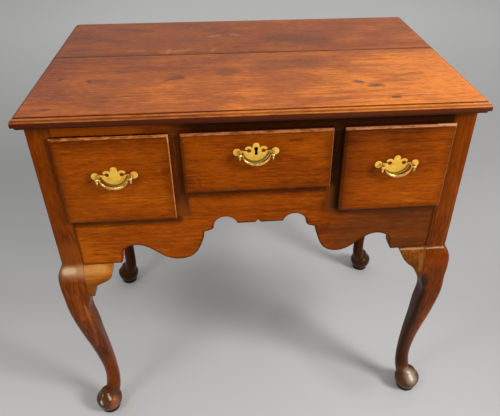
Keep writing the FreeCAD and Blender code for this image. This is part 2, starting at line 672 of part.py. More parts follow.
def drawer(x0, x1, z0, z1):
    """Front, two sides, back and bottom of a drawer for the given opening."""
    left, right = x0 + FIT, x1 - FIT
    top = z1 - FIT
    low = z0 + RUN_GAP
    inner_y = Y_FRONT + FRONT_INNER
    rear = Y_DRAWER_BACK
    board_low = low + BOTTOM_RAISE
    board_top = board_low + BOTTOM_THICKNESS
    front_low = z0 + FIT
    front = drawer_lip(x0 - LIP_LAP, x1 + LIP_LAP, z0 - LIP_LAP, z1 + LIP_LAP)
    front = front.fuse(box(left, right, Y_FRONT - LIP_PROUD / 2, inner_y, front_low, top))
    front = front.removeSplitter()
    groove_x = left + DRAWER_SIDE - GROOVE
    front = front.cut(box(groove_x, left + right - groove_x, inner_y - GROOVE, inner_y + PAST,
                          board_low, board_top))
    back_top = top - BACK_DROP
    back = box(left, right, rear - DRAWER_BACK, rear, board_top, back_top)
    sides = []
    for outer, inner in ((left, left + DRAWER_SIDE), (right - DRAWER_SIDE, right)):
        side = box(outer, inner, inner_y, rear, low, top)
        side = side.cut(box(outer, inner, rear - DRAWER_BACK, rear, board_top, back_top))
        joints = tails(outer, inner, inner_y, inner_y - TAIL_LENGTH, front_low, top)
        joints += tails(outer, inner, rear - DRAWER_BACK, rear, board_top, back_top)
        side = side.fuse(joints).removeSplitter()
        side = side.cut(box(groove_x, left + right - groove_x, Y_FRONT, rear + PAST,
                            board_low, board_top))
        front = front.cut(joints)
        back = back.cut(joints)
        sides.append(side)
    slack = groove_x + GROOVE_CLEARANCE
    bottom = box(slack, left + right - slack, inner_y - GROOVE + GROOVE_CLEARANCE, rear,
                 board_low, board_top)
    return {"front": front, "left_side": sides[0], "right_side": sides[1],
            "back": back, "bottom": bottom}


# Handles, drawn about the point midway between the two pivots

def keyhole(x, z, depth):
    face = V(x, Y_FACE - PLATE_THICKNESS, z)
    bore = cylinder(KEYHOLE_RADIUS, face, V(0, depth, 0))
    half = KEYHOLE_SLOT / 2
    slot = outline(lambda a, b: V(x + a, face.y, z + b), (-0.75 * half, 0), [
        ("line", (0.75 * half, 0), (half, -KEYHOLE_DROP), (-half, -KEYHOLE_DROP)),
        ("line", (-0.75 * half, 0))])
    return bore.fuse(slot.extrude(V(0, depth, 0)))


def handle_plate(x, z):
    def place(a, b):
        return V(x + a, Y_FACE, z + b)

    def disc(a, b, radius):
        circle = Part.Circle(place(a, b), V(0, 1, 0), radius)
        return Part.Face(Part.Wire(circle.toShape()))

    half = LOBE_WIDTH / 2
    bowl = outline(place, (-HORN_REACH, PLATE_RAISE), [
        ("arc", (0, PLATE_RAISE - PLATE_RADIUS), (HORN_REACH, PLATE_RAISE)),
        ("arc", (0.72 * HORN_REACH, -0.2 * PLATE_RAISE), (half, -PLATE_RAISE)),
        ("line", (-half, -PLATE_RAISE)),
        ("arc", (-0.72 * HORN_REACH, -0.2 * PLATE_RAISE), (-HORN_REACH, PLATE_RAISE))])
    lobe = outline(place, (-half, -2 * PLATE_RAISE), [
        ("line", (half, -2 * PLATE_RAISE), (half, LOBE_TOP - half)),
        ("arc", (0, LOBE_TOP), (-half, LOBE_TOP - half)),
        ("line", (-half, -2 * PLATE_RAISE))])
    faces = [lobe]
    cutters = []
    for side in (-1, 1):
        scroll = side * SCROLL_SPACING / 2
        faces.append(disc(scroll, 2.2, SCROLL_RADIUS))
        cutters.append(disc(scroll, 2.2, SCROLL_HOLE))
        cutters.append(outline(place, (scroll, 2.2), [
            ("line", (scroll + side * 2 * SCROLL_RADIUS, 0.5)),
            ("line", (scroll + side * 2 * SCROLL_RADIUS, 2 * SCROLL_RADIUS), (scroll, 2.2))]))
    curl = (SCROLL_RADIUS - SCROLL_HOLE) / 2
    curl_reach = (SCROLL_RADIUS + SCROLL_HOLE) / 2
    curls = [disc(side * (SCROLL_SPACING / 2 + 0.72 * curl_reach), 2.2 + 0.7 * curl_reach, curl)
             for side in (-1, 1)]
    scrolls = faces[0].fuse(faces[1:]).cut(cutters).fuse(curls)
    holes = [disc(side * SCROLL_SPACING / 2, 2.2, SCROLL_HOLE) for side in (-1, 1)]
    flat = [scrolls, bowl.cut(holes)]
    for side in (-1, 1):
        end = side * END_LOBE_SPACING / 2
        neck = sorted((side * 0.8 * HORN_REACH, end))
        flat.append(disc(end, 0.4, END_LOBE_RADIUS))
        flat.append(outline(place, (neck[0], -NECK_HEIGHT / 2), [
            ("line", (neck[1], -NECK_HEIGHT / 2), (neck[1], NECK_HEIGHT / 2)),
            ("line", (neck[0], NECK_HEIGHT / 2), (neck[0], -NECK_HEIGHT / 2))]))
    solids = [face.extrude(V(0, -PLATE_THICKNESS, 0)) for face in flat]
    plate = solids[0].fuse(solids[1:]).removeSplitter()
    for side in (-1, 1):
        plate = plate.cut(cylinder(SHANK_RADIUS + SHANK_CLEARANCE,
                                   V(x + side * POST_SPACING / 2, Y_FACE - PAST, z),
                                   V(0, 2 * PAST, 0)))
    return plate


def shank_end():
    return Y_FRONT + FRONT_INNER + NUT_THICKNESS + SHANK_SPARE


def handle_post(x, z, inward):
    """Turned post: shank, collar, neck, bored ball and a pointed drop under it."""
    collar = Y_FACE - PLATE_THICKNESS - COLLAR_THICKNESS
    shank = cylinder(SHANK_RADIUS, V(x, collar, z), V(0, shank_end() - collar, 0))
    collar_disc = cylinder(COLLAR_RADIUS, V(x, collar, z), V(0, COLLAR_THICKNESS, 0))
    neck = cylinder(POST_NECK, V(x, Y_PIVOT, z), V(0, collar - Y_PIVOT, 0))
    ball = Part.makeSphere(BALL_RADIUS, V(x, Y_PIVOT, z))
    tip = -BALL_RADIUS - FINIAL_LENGTH
    drop = outline(lambda r, b: V(x + r, Y_PIVOT, z + b), (0, 0), [
        ("line", (1.2, 0), (1.2, -BALL_RADIUS)),
        ("arc", (FINIAL_RADIUS, -BALL_RADIUS - 0.35 * FINIAL_LENGTH), (0.5, tip + 0.8)),
        ("line", (0, tip), (0, 0))]).revolve(V(x, Y_PIVOT, z), V(0, 0, 1), 360)
    solid = shank.fuse([collar_disc, neck, ball, drop]).removeSplitter()
    start = V(x + inward * 2 * BALL_RADIUS, Y_PIVOT, z)
    bore = cylinder(PIN_RADIUS + PIN_CLEARANCE, start,
                    V(-inward * (2 * BALL_RADIUS + PIN_RADIUS), 0, 0))
    return solid.cut(bore)


def handle_nut(x, z):
    half = NUT_SIZE / 2
    y0 = Y_FRONT + FRONT_INNER
    nut = box(x - half, x + half, y0, y0 + NUT_THICKNESS, z - half, z + half)
    return nut.cut(cylinder(SHANK_RADIUS + PIN_CLEARANCE, V(x, y0 - PAST, z),
                            V(0, NUT_THICKNESS + 2 * PAST, 0)))


def bail(x, z):
    """Hanging loop, thin at the pivots and thick in the middle."""
    arm = POST_SPACING / 2 - BALL_RADIUS - BAIL_END_GAP - BAIL_THIN
    sections = []
    for step in range(BAIL_STEPS + 1):
        angle = math.pi * step / BAIL_STEPS
        centre = V(x + arm * math.cos(angle), Y_PIVOT, z - BAIL_DROP * math.sin(angle))
        tangent = V(-arm * math.sin(angle), 0, -BAIL_DROP * math.cos(angle))
        radius = BAIL_THIN + (BAIL_THICK - BAIL_THIN) * math.sin(angle) ** 2
        sections.append(Part.Wire(Part.Circle(centre, tangent, radius).toShape()))
    loop = Part.makeLoft(sections, True, False)
    ends = []
    for side in (-1, 1):
        elbow = V(x + side * arm, Y_PIVOT, z)
        pin = cylinder(PIN_RADIUS, elbow, V(side * (POST_SPACING / 2 - arm), 0, 0))
        ends.append(pin.fuse(Part.makeSphere(BAIL_THIN * 1.02, elbow)))
    return loop.fuse(ends).removeSplitter()


# Lock on the middle drawer: a box let into the back of the front, and its bolt

def lock_body_box(x):
    y1 = Y_FRONT + FRONT_INNER
    top = RAIL_BOTTOM - FIT
    return box(x - LOCK_WIDTH / 2, x + LOCK_WIDTH / 2, y1 - LOCK_THICKNESS, y1,
               top - LOCK_HEIGHT, top)


def bolt_box(x, clearance, above):
    middle = Y_FRONT + FRONT_INNER - LOCK_THICKNESS / 2
    top = RAIL_BOTTOM - FIT - BOLT_REST
    half = BOLT_WIDTH / 2 + clearance
    deep = BOLT_THICKNESS / 2 + clearance
    return box(x - half, x + half, middle - deep, middle + deep,
               top - BOLT_LENGTH - clearance, top + above)


def build_case():
    left_muntin = muntin()
    right_muntin = mirror_x(left_muntin)
    front_apron = apron([left_muntin, right_muntin])
    rail = top_rail().cut([left_muntin, right_muntin])
    left_side = side_panel()
    sides = both_sides(left_side)
    back = back_panel()
    inward_leg = leg(LEG_RACK)
    outward_leg = leg(-LEG_RACK)
    peg_holes = pegs(PEG_RADIUS + PEG_CLEARANCE)
    legs = {"front_left": inward_leg, "front_right": mirror_x(outward_leg),
            "rear_left": mirror_y(outward_leg), "rear_right": mirror_y(mirror_x(inward_leg))}
    for name, shape in legs.items():
        save(f"{name}_leg", shape.cut([rail, front_apron, back] + sides + peg_holes))
    first_bracket = knee_bracket(square_end)
    first_side_bracket = side_bracket(first_bracket)
    save("front_left_knee_bracket", first_bracket)
    save("front_right_knee_bracket", mirror_x(knee_bracket(sloping_end)))
    for name, shape in zip(("left", "right"), both_sides(first_side_bracket)):
        save(f"front_{name}_side_bracket", shape)
        save(f"rear_{name}_side_bracket", mirror_y(shape))
    for name, shape in zip(("front", "rear"), top_boards()):
        save(f"top_{name}_board", shape)
    for name, shape in zip(("left", "right"), sides):
        save(f"{name}_side_panel", shape.cut(peg_holes))
    for name, shape in zip(("left", "right"), both_sides(partition())):
        save(f"{name}_partition", shape)
    for name, shape in (("left_muntin", left_muntin), ("right_muntin", right_muntin),
                        ("apron", front_apron), ("top_rail", rail), ("back_panel", back)):
        save(name, shape)


def build_inside():
    left = side_drawer_runners()
    groups = {"left_drawer_runners": left,
              "right_drawer_runners": [mirror_x(piece) for piece in left],
              "centre_drawer_runners": centre_drawer_runners(), "drawer_guides": guides(),
              "drawer_kickers": kickers(), "glue_blocks": glue_blocks(),
              "side_pegs": pegs(PEG_RADIUS)}
    for name, pieces in groups.items():
        save(name, Part.Compound(pieces))


def build_handle(name, x, z, has_keyhole):
    plate = handle_plate(x, z)
    if has_keyhole:
        plate = plate.cut(keyhole(x, z + KEYHOLE_DROP / 2, PLATE_THICKNESS))
    save(f"{name}_handle_plate", plate)
    ends = (-1, 1)
    spots = [x + side * POST_SPACING / 2 for side in ends]
    save(f"{name}_handle_posts", Part.Compound(
        [handle_post(spot, z, -side) for spot, side in zip(spots, ends)]))
    save(f"{name}_handle_nuts", Part.Compound([handle_nut(spot, z) for spot in spots]))
    save(f"{name}_handle_bail", bail(x, z))
    return [cylinder(SHANK_RADIUS + SHANK_CLEARANCE, V(spot, Y_FACE - PAST, z),
                     V(0, 2 * PAST + LIP_PROUD + FRONT_INNER, 0)) for spot in spots]


def build_drawer(name, x0, x1, bottom, handle_x, handle_z, has_lock):
    pieces = drawer(x0, x1, bottom, RAIL_BOTTOM)
    holes = build_handle(name, handle_x, handle_z, has_lock)
    if has_lock:
        holes.append(keyhole(handle_x, handle_z + KEYHOLE_DROP / 2, 2 * LIP_PROUD))
        lock = lock_body_box(handle_x)
        holes += [lock, bolt_box(handle_x, BOLT_CLEARANCE, PAST)]
        slot = bolt_box(handle_x, BOLT_CLEARANCE, PAST)
        save("lock_case", lock.cut([slot, keyhole(handle_x, handle_z + KEYHOLE_DROP / 2,
                                                  LIP_PROUD + FRONT_INNER)]))
        save("lock_bolt", bolt_box(handle_x, 0, 0))
    pieces["front"] = pieces["front"].cut(holes)
    for part, shape in pieces.items():
        save(f"{name}_drawer_{part}", shape)


build_case()
build_inside()
side_middle = (X_SIDE_OPENING + X_FRAME) / 2
side_pivot = SIDE_OPENING_BOTTOM + SIDE_HANDLE_HEIGHT
build_drawer("left", -X_FRAME, -X_SIDE_OPENING, SIDE_OPENING_BOTTOM,
             -side_middle, side_pivot, False)
build_drawer("centre", -X_CENTRE_OPENING, X_CENTRE_OPENING, CENTRE_OPENING_BOTTOM,
             CENTRE_HANDLE_SHIFT, CENTRE_OPENING_BOTTOM + CENTRE_HANDLE_HEIGHT, True)
build_drawer("right", X_SIDE_OPENING, X_FRAME, SIDE_OPENING_BOTTOM,
             side_middle, side_pivot, False)
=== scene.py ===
import math
import random

import bmesh
import bpy
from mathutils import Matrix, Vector, noise


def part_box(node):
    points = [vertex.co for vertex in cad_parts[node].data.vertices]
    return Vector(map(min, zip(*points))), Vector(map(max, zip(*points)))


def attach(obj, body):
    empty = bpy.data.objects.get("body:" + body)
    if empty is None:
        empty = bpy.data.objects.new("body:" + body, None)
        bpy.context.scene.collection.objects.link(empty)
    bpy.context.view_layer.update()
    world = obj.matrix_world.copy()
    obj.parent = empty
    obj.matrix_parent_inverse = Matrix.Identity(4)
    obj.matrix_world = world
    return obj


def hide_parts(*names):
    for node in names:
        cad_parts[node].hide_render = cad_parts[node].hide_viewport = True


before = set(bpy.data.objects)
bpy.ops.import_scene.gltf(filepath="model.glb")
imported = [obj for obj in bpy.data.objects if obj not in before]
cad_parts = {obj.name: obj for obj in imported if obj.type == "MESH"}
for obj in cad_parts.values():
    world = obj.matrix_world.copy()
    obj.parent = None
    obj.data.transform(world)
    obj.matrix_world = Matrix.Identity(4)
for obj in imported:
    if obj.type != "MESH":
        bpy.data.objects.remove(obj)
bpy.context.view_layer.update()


# ---------------------------------------------------------------------------
# The top: two old oak boards, butted along one seam, with an ovolo worked on
# the front and both ends. Waxed for many years, its edges bruised and rubbed.
# Its moulded edge carries painted highlights and painted shade, its boards painted light.

MERGE_REACH, CUT_REACH = 2e-6, 1e-6
HAIR = 0.0005
FLAT_TURN = 1.0  # degrees between faces that count as one
MARK_CORE = 0.25  # the share of a mark's reach that has its full strength
MARK_RAG, RIM_RAG = 0.003, 0.006  # how far their outlines wander
NOISE_MIDDLE = (0.5, 0.5, 0.5)


def shade(red, green, blue):
    """A colour written as it looks, 0 to 255, in the linear values that a shader takes."""
    def linear(level):
        level /= 255
        return level / 12.92 if level <= 0.04045 else ((level + 0.055) / 1.055) ** 2.4
    return linear(red), linear(green), linear(blue), 1.0


class Finish:
    """A finish built up coat by coat: each step adds a shader node and gives back its output."""

    def __init__(self, name):
        self.material = bpy.data.materials.new(name)
        self.material.use_nodes = True
        self.nodes = self.material.node_tree.nodes
        self.links = self.material.node_tree.links
        self.nodes.clear()
        self.wandering = {}
        self.place = self.step("TexCoord", output="Object")

    def feed(self, node, socket, value):
        """Joins a socket to an earlier output, or sets it to a constant."""
        if isinstance(value, bpy.types.NodeSocket):
            self.links.new(value, node.inputs[socket])
        else:
            node.inputs[socket].default_value = value

    def step(self, kind, *values, output=0, named=None, **settings):
        """Adds a node, feeds its sockets in order or by name, and gives back one output."""
        node = self.nodes.new("ShaderNode" + kind)
        for setting, value in settings.items():
            setattr(node, setting, value)
        for socket, value in enumerate(values):
            self.feed(node, socket, value)
        for socket, value in (named or {}).items():
            self.feed(node, socket, value)
        return node.outputs[output] if node.outputs else None

    def reckon(self, operation, *values, clamp=False):
        """Arithmetic on numbers."""
        return self.step("Math", *values, operation=operation, use_clamp=clamp)

    def move(self, operation, *values, output=0):
        """Arithmetic on places and directions."""
        return self.step("VectorMath", *values, operation=operation, output=output)

    def split(self, place):
        """A place's three coordinates, by the letters of their axes."""
        parted = self.step("SeparateXYZ", place).node
        return {axis: parted.outputs[axis] for axis in "XYZ"}

    def cloudy(self, place, scales, detail=2.0, rough=0.5, output=0):
        """Soft random patches, so many to the metre along each axis."""
        scaled = self.move("MULTIPLY", place, scales)
        return self.step("TexNoise", scaled, output=output,
                         named={"Scale": 1.0, "Detail": detail, "Roughness": rough})

    def spread(self, value, low, high, start=0.0, end=1.0):
        """Eased from start to end while the value goes from low to high, and steady beyond."""
        return self.step("MapRange", value, low, high, start, end, interpolation_type="SMOOTHSTEP")

    def tint(self, amount, under, over):
        """The colour under, with the amount of another laid over it."""
        return self.step("Mix", output=2, data_type="RGBA", named={0: amount, 6: under, 7: over})

    def wash(self, under, amount, strength, over):
        """The same with a colour of 0 to 255, at less than the full strength."""
        return self.tint(self.reckon("MULTIPLY", amount, strength), under, shade(*over))

    def wander(self, place, scales, reach, **grain):
        """The place pushed about by soft noise, to half of reach either way along each axis."""
        stray = self.cloudy(place, scales, output=1, **grain)
        stray = self.move("SUBTRACT", stray, NOISE_MIDDLE)
        return self.move("ADD", place, self.move("MULTIPLY", stray, reach))

    def strayed(self, ragged):
        """The place with a little random wandering, so that an outline drawn on it is ragged."""
        if ragged not in self.wandering:
            self.wandering[ragged] = self.wander(self.place, (90.0, 90.0, 90.0), (ragged,) * 3,
                                                 detail=4.0, rough=0.6)
        return self.wandering[ragged]

    def near(self, start, end, reach):
        """1 on the line from start to end, falling to 0 at reach from it, with a ragged outline."""
        start = Vector(start)
        run = Vector(end) - start
        gone = self.move("SUBTRACT", self.strayed(MARK_RAG), start)
        if run.length > 0:
            share = self.move("DOT_PRODUCT", gone, run / run.length_squared, output=1)
            share = self.reckon("ADD", share, 0.0, clamp=True)
            along = self.move("SCALE", run)
            self.feed(along.node, "Scale", share)
            gone = self.move("SUBTRACT", gone, along)
        gap = self.move("LENGTH", gone, output=1)
        return self.spread(gap, reach, MARK_CORE * reach)

    def rim(self, low, high, reach):
        """1 at the outline of a front that runs from low to high in X and Z, 0 further in."""
        place = self.strayed(RIM_RAG)
        gap = self.move("MINIMUM", self.move("SUBTRACT", place, low),
                        self.move("SUBTRACT", high, place))
        gaps = self.split(gap)
        return self.spread(self.reckon("MINIMUM", gaps["X"], gaps["Z"]), reach, 0.0)

    def attribute(self, name):
        """What the faces say of themselves under this name."""
        return self.step("Attribute", output="Fac", attribute_name=name)

    def coat(self, colour, roughness, height, depth, **constants):
        """The last coat: the shader itself, with the height worked in as bump."""
        bumped = self.step("Bump", named={"Strength": 1.0, "Distance": depth, "Height": height})
        shader = self.step("BsdfPrincipled", named={"Base Color": colour, "Roughness": roughness,
                                                    "Normal": bumped})
        for socket, value in constants.items():
            shader.node.inputs[socket.replace("_", " ")].default_value = value
        self.step("OutputMaterial", shader)
        return self.material


BARE_DARK, BARE_PALE = (112, 78, 44), (172, 132, 86)
BARE_FADE = 0.002
LOG_STEP = 1.37  # how far along the log one board's figure is from the next
HEART_LEAN = (0.008, 0.02)  # how the heart departs from the board's own run
GLOSS_SWING = 0.22
GRAIN_RELIEF = 0.00025


def oak(name, dark, middle, light, grain="XYZ", heart=(0.0, 0.0), shift=0.0, figure=1.0,
        drift_and_painted_light=None, marks=(), shaded_and_soiled=None, rubbed_and_highlit=(214, 150, 96), gloss=0.42, sheen=0.3,
        dirt_and_shade=(34, 13, 4), glow=(255, 214, 170), bare=None):
    """Oak with its growth rings round a heart line, fibres, pores and flecks, then wear and dirt,
    with painted highlights and painted shade among them.

    A mark is a colour, a strength, a reach and the two ends of its line. The wood is left bare
    beyond the plane that bare gives by a direction and a distance.
    """
    wood = Finish(name)

    # The place in the board, its length first, swayed a little so that no line runs dead straight.
    axes = wood.split(wood.place)
    board = wood.step("CombineXYZ", *(axes[axis] for axis in grain))
    board = wood.move("ADD", board, (LOG_STEP * shift, 0.0, 0.0))
    swayed = wood.wander(board, (2.4, 8.0, 8.0), (0.0, 0.02, 0.02))
    run = wood.split(swayed)
    rows = [wood.reckon("SUBTRACT", run[axis], start) for axis, start in zip("YZ", heart)]
    rows = [wood.reckon("MULTIPLY_ADD", run["X"], lean, row) for row, lean in zip(rows, HEART_LEAN)]
    square = wood.reckon("MULTIPLY", rows[1], rows[1])
    square = wood.reckon("MULTIPLY_ADD", rows[0], rows[0], square)
    ring = wood.step("CombineXYZ", run["X"], wood.reckon("POWER", square, 0.5), shift)
    rings = wood.cloudy(ring, (1.1, 150.0, 1.0), detail=3.0, rough=0.6)
    streaks = wood.cloudy(swayed, (7.0, 260.0, 260.0), detail=3.0, rough=0.65)
    fibres = wood.cloudy(board, (24.0, 800.0, 800.0), rough=0.6)
    flecks = wood.cloudy(board, (58.0, 400.0, 400.0), detail=1.0)
    pores = wood.cloudy(board, (80.0, 1300.0, 1300.0), detail=1.0)
    mottle = wood.cloudy(wood.move("ADD", board, (3.1, shift, 0.0)), (9.0, 16.0, 16.0),
                         detail=4.0, rough=0.55)

    # How light or dark the wood is, from all its layers and its drift, which on some pieces is
    # painted light and shade, and the colour which that makes.
    tone = 0.5
    for layer, weight in ((rings, 0.5 * figure), (streaks, 0.38), (fibres, 0.5), (mottle, 0.7)):
        tone = wood.reckon("MULTIPLY_ADD", layer, weight, wood.reckon("SUBTRACT", tone, weight / 2))
    if drift_and_painted_light:
        slope, level = drift_and_painted_light
        drifted_and_lit = wood.reckon("ADD", wood.move("DOT_PRODUCT", wood.place, slope, output=1), level)
        tone = wood.reckon("ADD", tone, drifted_and_lit)
    colour = wood.tint(wood.spread(tone, 0.2, 0.5), shade(*dark), shade(*middle))
    colour = wood.tint(wood.spread(tone, 0.5, 0.8), colour, shade(*light))

    # The small figure, then marks, soil, rubbed places and grime: partly what the years have added,
    # partly painted highlights and painted shade.
    speck = wood.spread(flecks, 0.56, 0.68)
    glint = wood.spread(flecks, 0.43, 0.31)
    pitted = wood.spread(pores, 0.58, 0.68)
    dents = wood.spread(wood.cloudy(board, (150.0, 330.0, 330.0), rough=0.7), 0.66, 0.74)
    for layer, strength, over in ((speck, 0.38, dark), (glint, 0.3, light), (pitted, 0.45, dark),
                                  (dents, 0.6, dirt_and_shade)):
        colour = wood.wash(colour, layer, strength, over)
    for mark_shade, strength, reach, start, end in marks:
        colour = wood.wash(colour, wood.near(start, end, reach), strength, mark_shade)
    # The darker outline of a front: painted shade with dirt.
    if shaded_and_soiled:
        low, high, reach, strength = shaded_and_soiled
        colour = wood.wash(colour, wood.rim(low, high, reach), strength, dirt_and_shade)
    patchy = wood.cloudy(board, (55.0, 210.0, 210.0), detail=5.0, rough=0.65)
    colour = wood.wash(colour, wood.attribute("wear_and_highlight"), wood.spread(patchy, 0.32, 0.6), rubbed_and_highlit)
    grime_and_shade = wood.attribute("grime_and_shade")
    colour = wood.tint(grime_and_shade, colour, shade(*dirt_and_shade))

    # The gloss, dulled in pores and in grime and painted shade and gone where the wood is bare, and
    # the relief.
    roughness = wood.reckon("MULTIPLY_ADD", mottle, GLOSS_SWING, gloss - GLOSS_SWING / 2)
    if bare:
        direction, start = bare
        depth = wood.move("DOT_PRODUCT", wood.place, direction, output=1)
        beyond = wood.spread(depth, start, start + BARE_FADE)
        dry = wood.tint(wood.spread(tone, 0.25, 0.75), shade(*BARE_DARK), shade(*BARE_PALE))
        colour = wood.tint(beyond, colour, dry)
        roughness = wood.reckon("MULTIPLY_ADD", beyond, 0.3, roughness)
    for layer, dullness in ((pitted, 0.15), (grime_and_shade, 0.3)):
        roughness = wood.reckon("MULTIPLY_ADD", layer, dullness, roughness)
    height = wood.reckon("MULTIPLY_ADD", pitted, -0.6, wood.reckon("MULTIPLY", fibres, 0.5))
    height = wood.reckon("MULTIPLY_ADD", streaks, 0.6, height)
    return wood.coat(colour, roughness, height, GRAIN_RELIEF, Specular_IOR_Level=sheen,
                     Specular_Tint=shade(*glow))


def merged_copy(node):
    """A copy of a piece as it leaves the bench, with its triangles joined up."""
    shape = bmesh.new()
    shape.from_mesh(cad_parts[node].data)
    bmesh.ops.remove_doubles(shape, verts=shape.verts[:], dist=MERGE_REACH)
    # Each face says how far it is rubbed pale, by wear and in places as a painted highlight, and
    # how far it is darkened, by grime and in places as painted shade.
    shape.faces.layers.float.new("wear_and_highlight")
    shape.faces.layers.float.new("grime_and_shade")
    return shape


def ease_arrises(shape, arris, above=-1.0, turn=30.0, rub=0.15, soil=0.25, whole=True):
    """Flat faces made whole, then every sharp outer edge rubbed down to a narrow round."""
    if whole:
        bmesh.ops.dissolve_limit(shape, angle_limit=math.radians(FLAT_TURN), verts=shape.verts[:],
                                 edges=shape.edges[:], use_dissolve_boundaries=False)
    sharp = [edge for edge in shape.edges
             if edge.is_manifold and edge.calc_face_angle_signed() > math.radians(turn)
             and min(vert.co.z for vert in edge.verts) > above]
    made = bmesh.ops.bevel(shape, geom=sharp, offset=arris, offset_type="OFFSET", segments=2,
                           profile=0.5, affect="EDGES", clamp_overlap=False, material=-1)
    wear_and_highlight, grime_and_shade = (shape.faces.layers.float[layer] for layer in ("wear_and_highlight", "grime_and_shade"))
    for face in made["faces"]:
        face[wear_and_highlight], face[grime_and_shade] = rub, soil


def finish_off(shape, node, body, finish, turn=30.0):
    """The shape made into the finished piece, riding where the node did and standing for it."""
    name = f"{node}_finished"
    mesh = bpy.data.meshes.new(name)
    shape.to_mesh(mesh)
    shape.free()
    if "custom_normal" in mesh.attributes:
        mesh.attributes.remove(mesh.attributes["custom_normal"])
    mesh.shade_smooth()
    mesh.set_sharp_from_angle(angle=math.radians(turn))
    mesh.materials.clear()
    mesh.materials.append(finish)
    piece = bpy.data.objects.new(name, mesh)
    bpy.context.scene.collection.objects.link(piece)
    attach(piece, body)
    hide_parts(node)


def dress(node, body, slot, finish, arris=0.0006, **easing):
    """A piece with its arrises eased and its finish on, put in the node's stead."""
    shape = merged_copy(node)
    ease_arrises(shape, arris, **easing)
    finish_off(shape, node, body, finish)


def saw_lines(shape, direction, start, end, pitch, rough):
    """Divides the shape across one direction at uneven steps, so that its edges can be bruised."""
    level = start
    while level < end:
        everything = shape.verts[:] + shape.edges[:] + shape.faces[:]
        bmesh.ops.bisect_plane(shape, geom=everything, plane_co=Vector(direction) * level,
                               plane_no=direction, dist=CUT_REACH)
        level += pitch * rough.uniform(0.6, 1.4)


CHIPS_PER_METRE, DENTS_PER_METRE = 140.0, 22.0
CHIP_START = 0.15
DENT_SHARE, CHIP_SHARE = 0.35, 1.3


def bruise(shape, inside, depth, chosen):
    """Pushes the chosen points inwards by small uneven amounts: soft dents, and chips in them."""
    for vert in shape.verts:
        if not chosen(vert.co):
            continue
        inward = Vector(inside(vert.co)) - vert.co
        if inward.length == 0:
            continue
        dent = 0.5 + 0.5 * noise.noise(vert.co * DENTS_PER_METRE)
        chip = max(0.0, noise.noise(vert.co * CHIPS_PER_METRE) - CHIP_START)
        vert.co += inward.normalized() * depth * (DENT_SHARE * dent + CHIP_SHARE * chip)


top_low, top_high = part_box("top_front_board")
TOP_FACE, TOP_HALF_WIDTH = top_high.z, top_high.x
TOP_FRONT, TOP_SEAM, TOP_BACK = top_low.y, top_high.y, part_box("top_rear_board")[1].y
OVOLO = 0.0075
MOULDING = OVOLO + 0.004
FILLET_DEPTH = 0.0025
DIRT_AND_SHADE_LINE = 0.0006
ALONG_PITCH, ACROSS_PITCH = 0.006, 0.007
FIRST_CUT, LAST_CUT = 0.012, 0.004
KNOCKED_EDGE, SEAM_CLEAR = 0.0125, 0.0007
FRONT_BOARD_TONES = ((124, 50, 12), (174, 87, 24), (240, 136, 46))
REAR_BOARD_TONES = ((104, 42, 12), (154, 74, 26), (192, 106, 48))
INK, HAZE, SMUDGE, PALE = (50, 22, 14), (104, 56, 34), (124, 82, 58), (222, 162, 120)


def on_top(mark_shade, strength, reach, x, y, end_x=None, end_y=None):
    """A mark on the top, from one point to another where it has a length."""
    end = (x if end_x is None else end_x, y if end_y is None else end_y, TOP_FACE)
    return mark_shade, strength, reach, (x, y, TOP_FACE), end


front_board_marks = [
    on_top(INK, 0.55, 0.0065, -0.332, -0.096, -0.332, -0.088),
    on_top(INK, 0.65, 0.0060, -0.283, -0.101, -0.278, -0.110),
    on_top(INK, 0.55, 0.0040, -0.278, -0.101, -0.252, -0.099),
    on_top(HAZE, 0.45, 0.0120, -0.268, -0.110, -0.255, -0.106),
    on_top(INK, 0.60, 0.0042, -0.150, -0.111, -0.120, -0.098),
    on_top(INK, 0.45, 0.0045, -0.138, -0.096, -0.126, -0.089),
    on_top(HAZE, 0.40, 0.0130, -0.140, -0.100, -0.124, -0.094),
    on_top(HAZE, 0.60, 0.0090, -0.235, -0.066, -0.205, -0.060),
    on_top(INK, 0.35, 0.0032, -0.268, -0.181, -0.1705, -0.172),
    on_top(INK, 0.40, 0.0030, -0.245, -0.1785, -0.205, -0.175),
    on_top(INK, 0.60, 0.0055, -0.330, -0.218, -0.322, -0.218),
    on_top(HAZE, 0.50, 0.0260, -0.0465, -0.0775, -0.0400, -0.0775),
    on_top(HAZE, 0.45, 0.0500, 0.030, -0.050, 0.110, -0.040),
    on_top(INK, 0.50, 0.0050, 0.096, -0.026),
    on_top(SMUDGE, 0.60, 0.0120, 0.177, -0.141, 0.183, -0.146),
    on_top(INK, 0.45, 0.0065, 0.178, -0.141, 0.185, -0.143),
    on_top(SMUDGE, 0.75, 0.0130, 0.200, -0.162, 0.213, -0.160),
    on_top(INK, 0.35, 0.0075, 0.203, -0.162, 0.211, -0.160),
    on_top(INK, 0.75, 0.0060, 0.223, -0.214, 0.231, -0.214),
    on_top(HAZE, 0.60, 0.0045, 0.2185, -0.170),
    on_top(HAZE, 0.40, 0.0120, 0.250, -0.120, 0.300, -0.110),
    on_top(INK, 0.85, 0.0058, -TOP_HALF_WIDTH, TOP_SEAM, TOP_HALF_WIDTH, TOP_SEAM),
    # Pale wear and painted glints on the right front corner of the moulded edge.
    (PALE, 0.60, 0.0045, (0.345, -0.2435, 0.7405), (0.369, -0.2435, 0.7405)),
    (PALE, 0.55, 0.0050, (0.362, -0.2500, 0.7350), (0.374, -0.2480, 0.7350)),
]
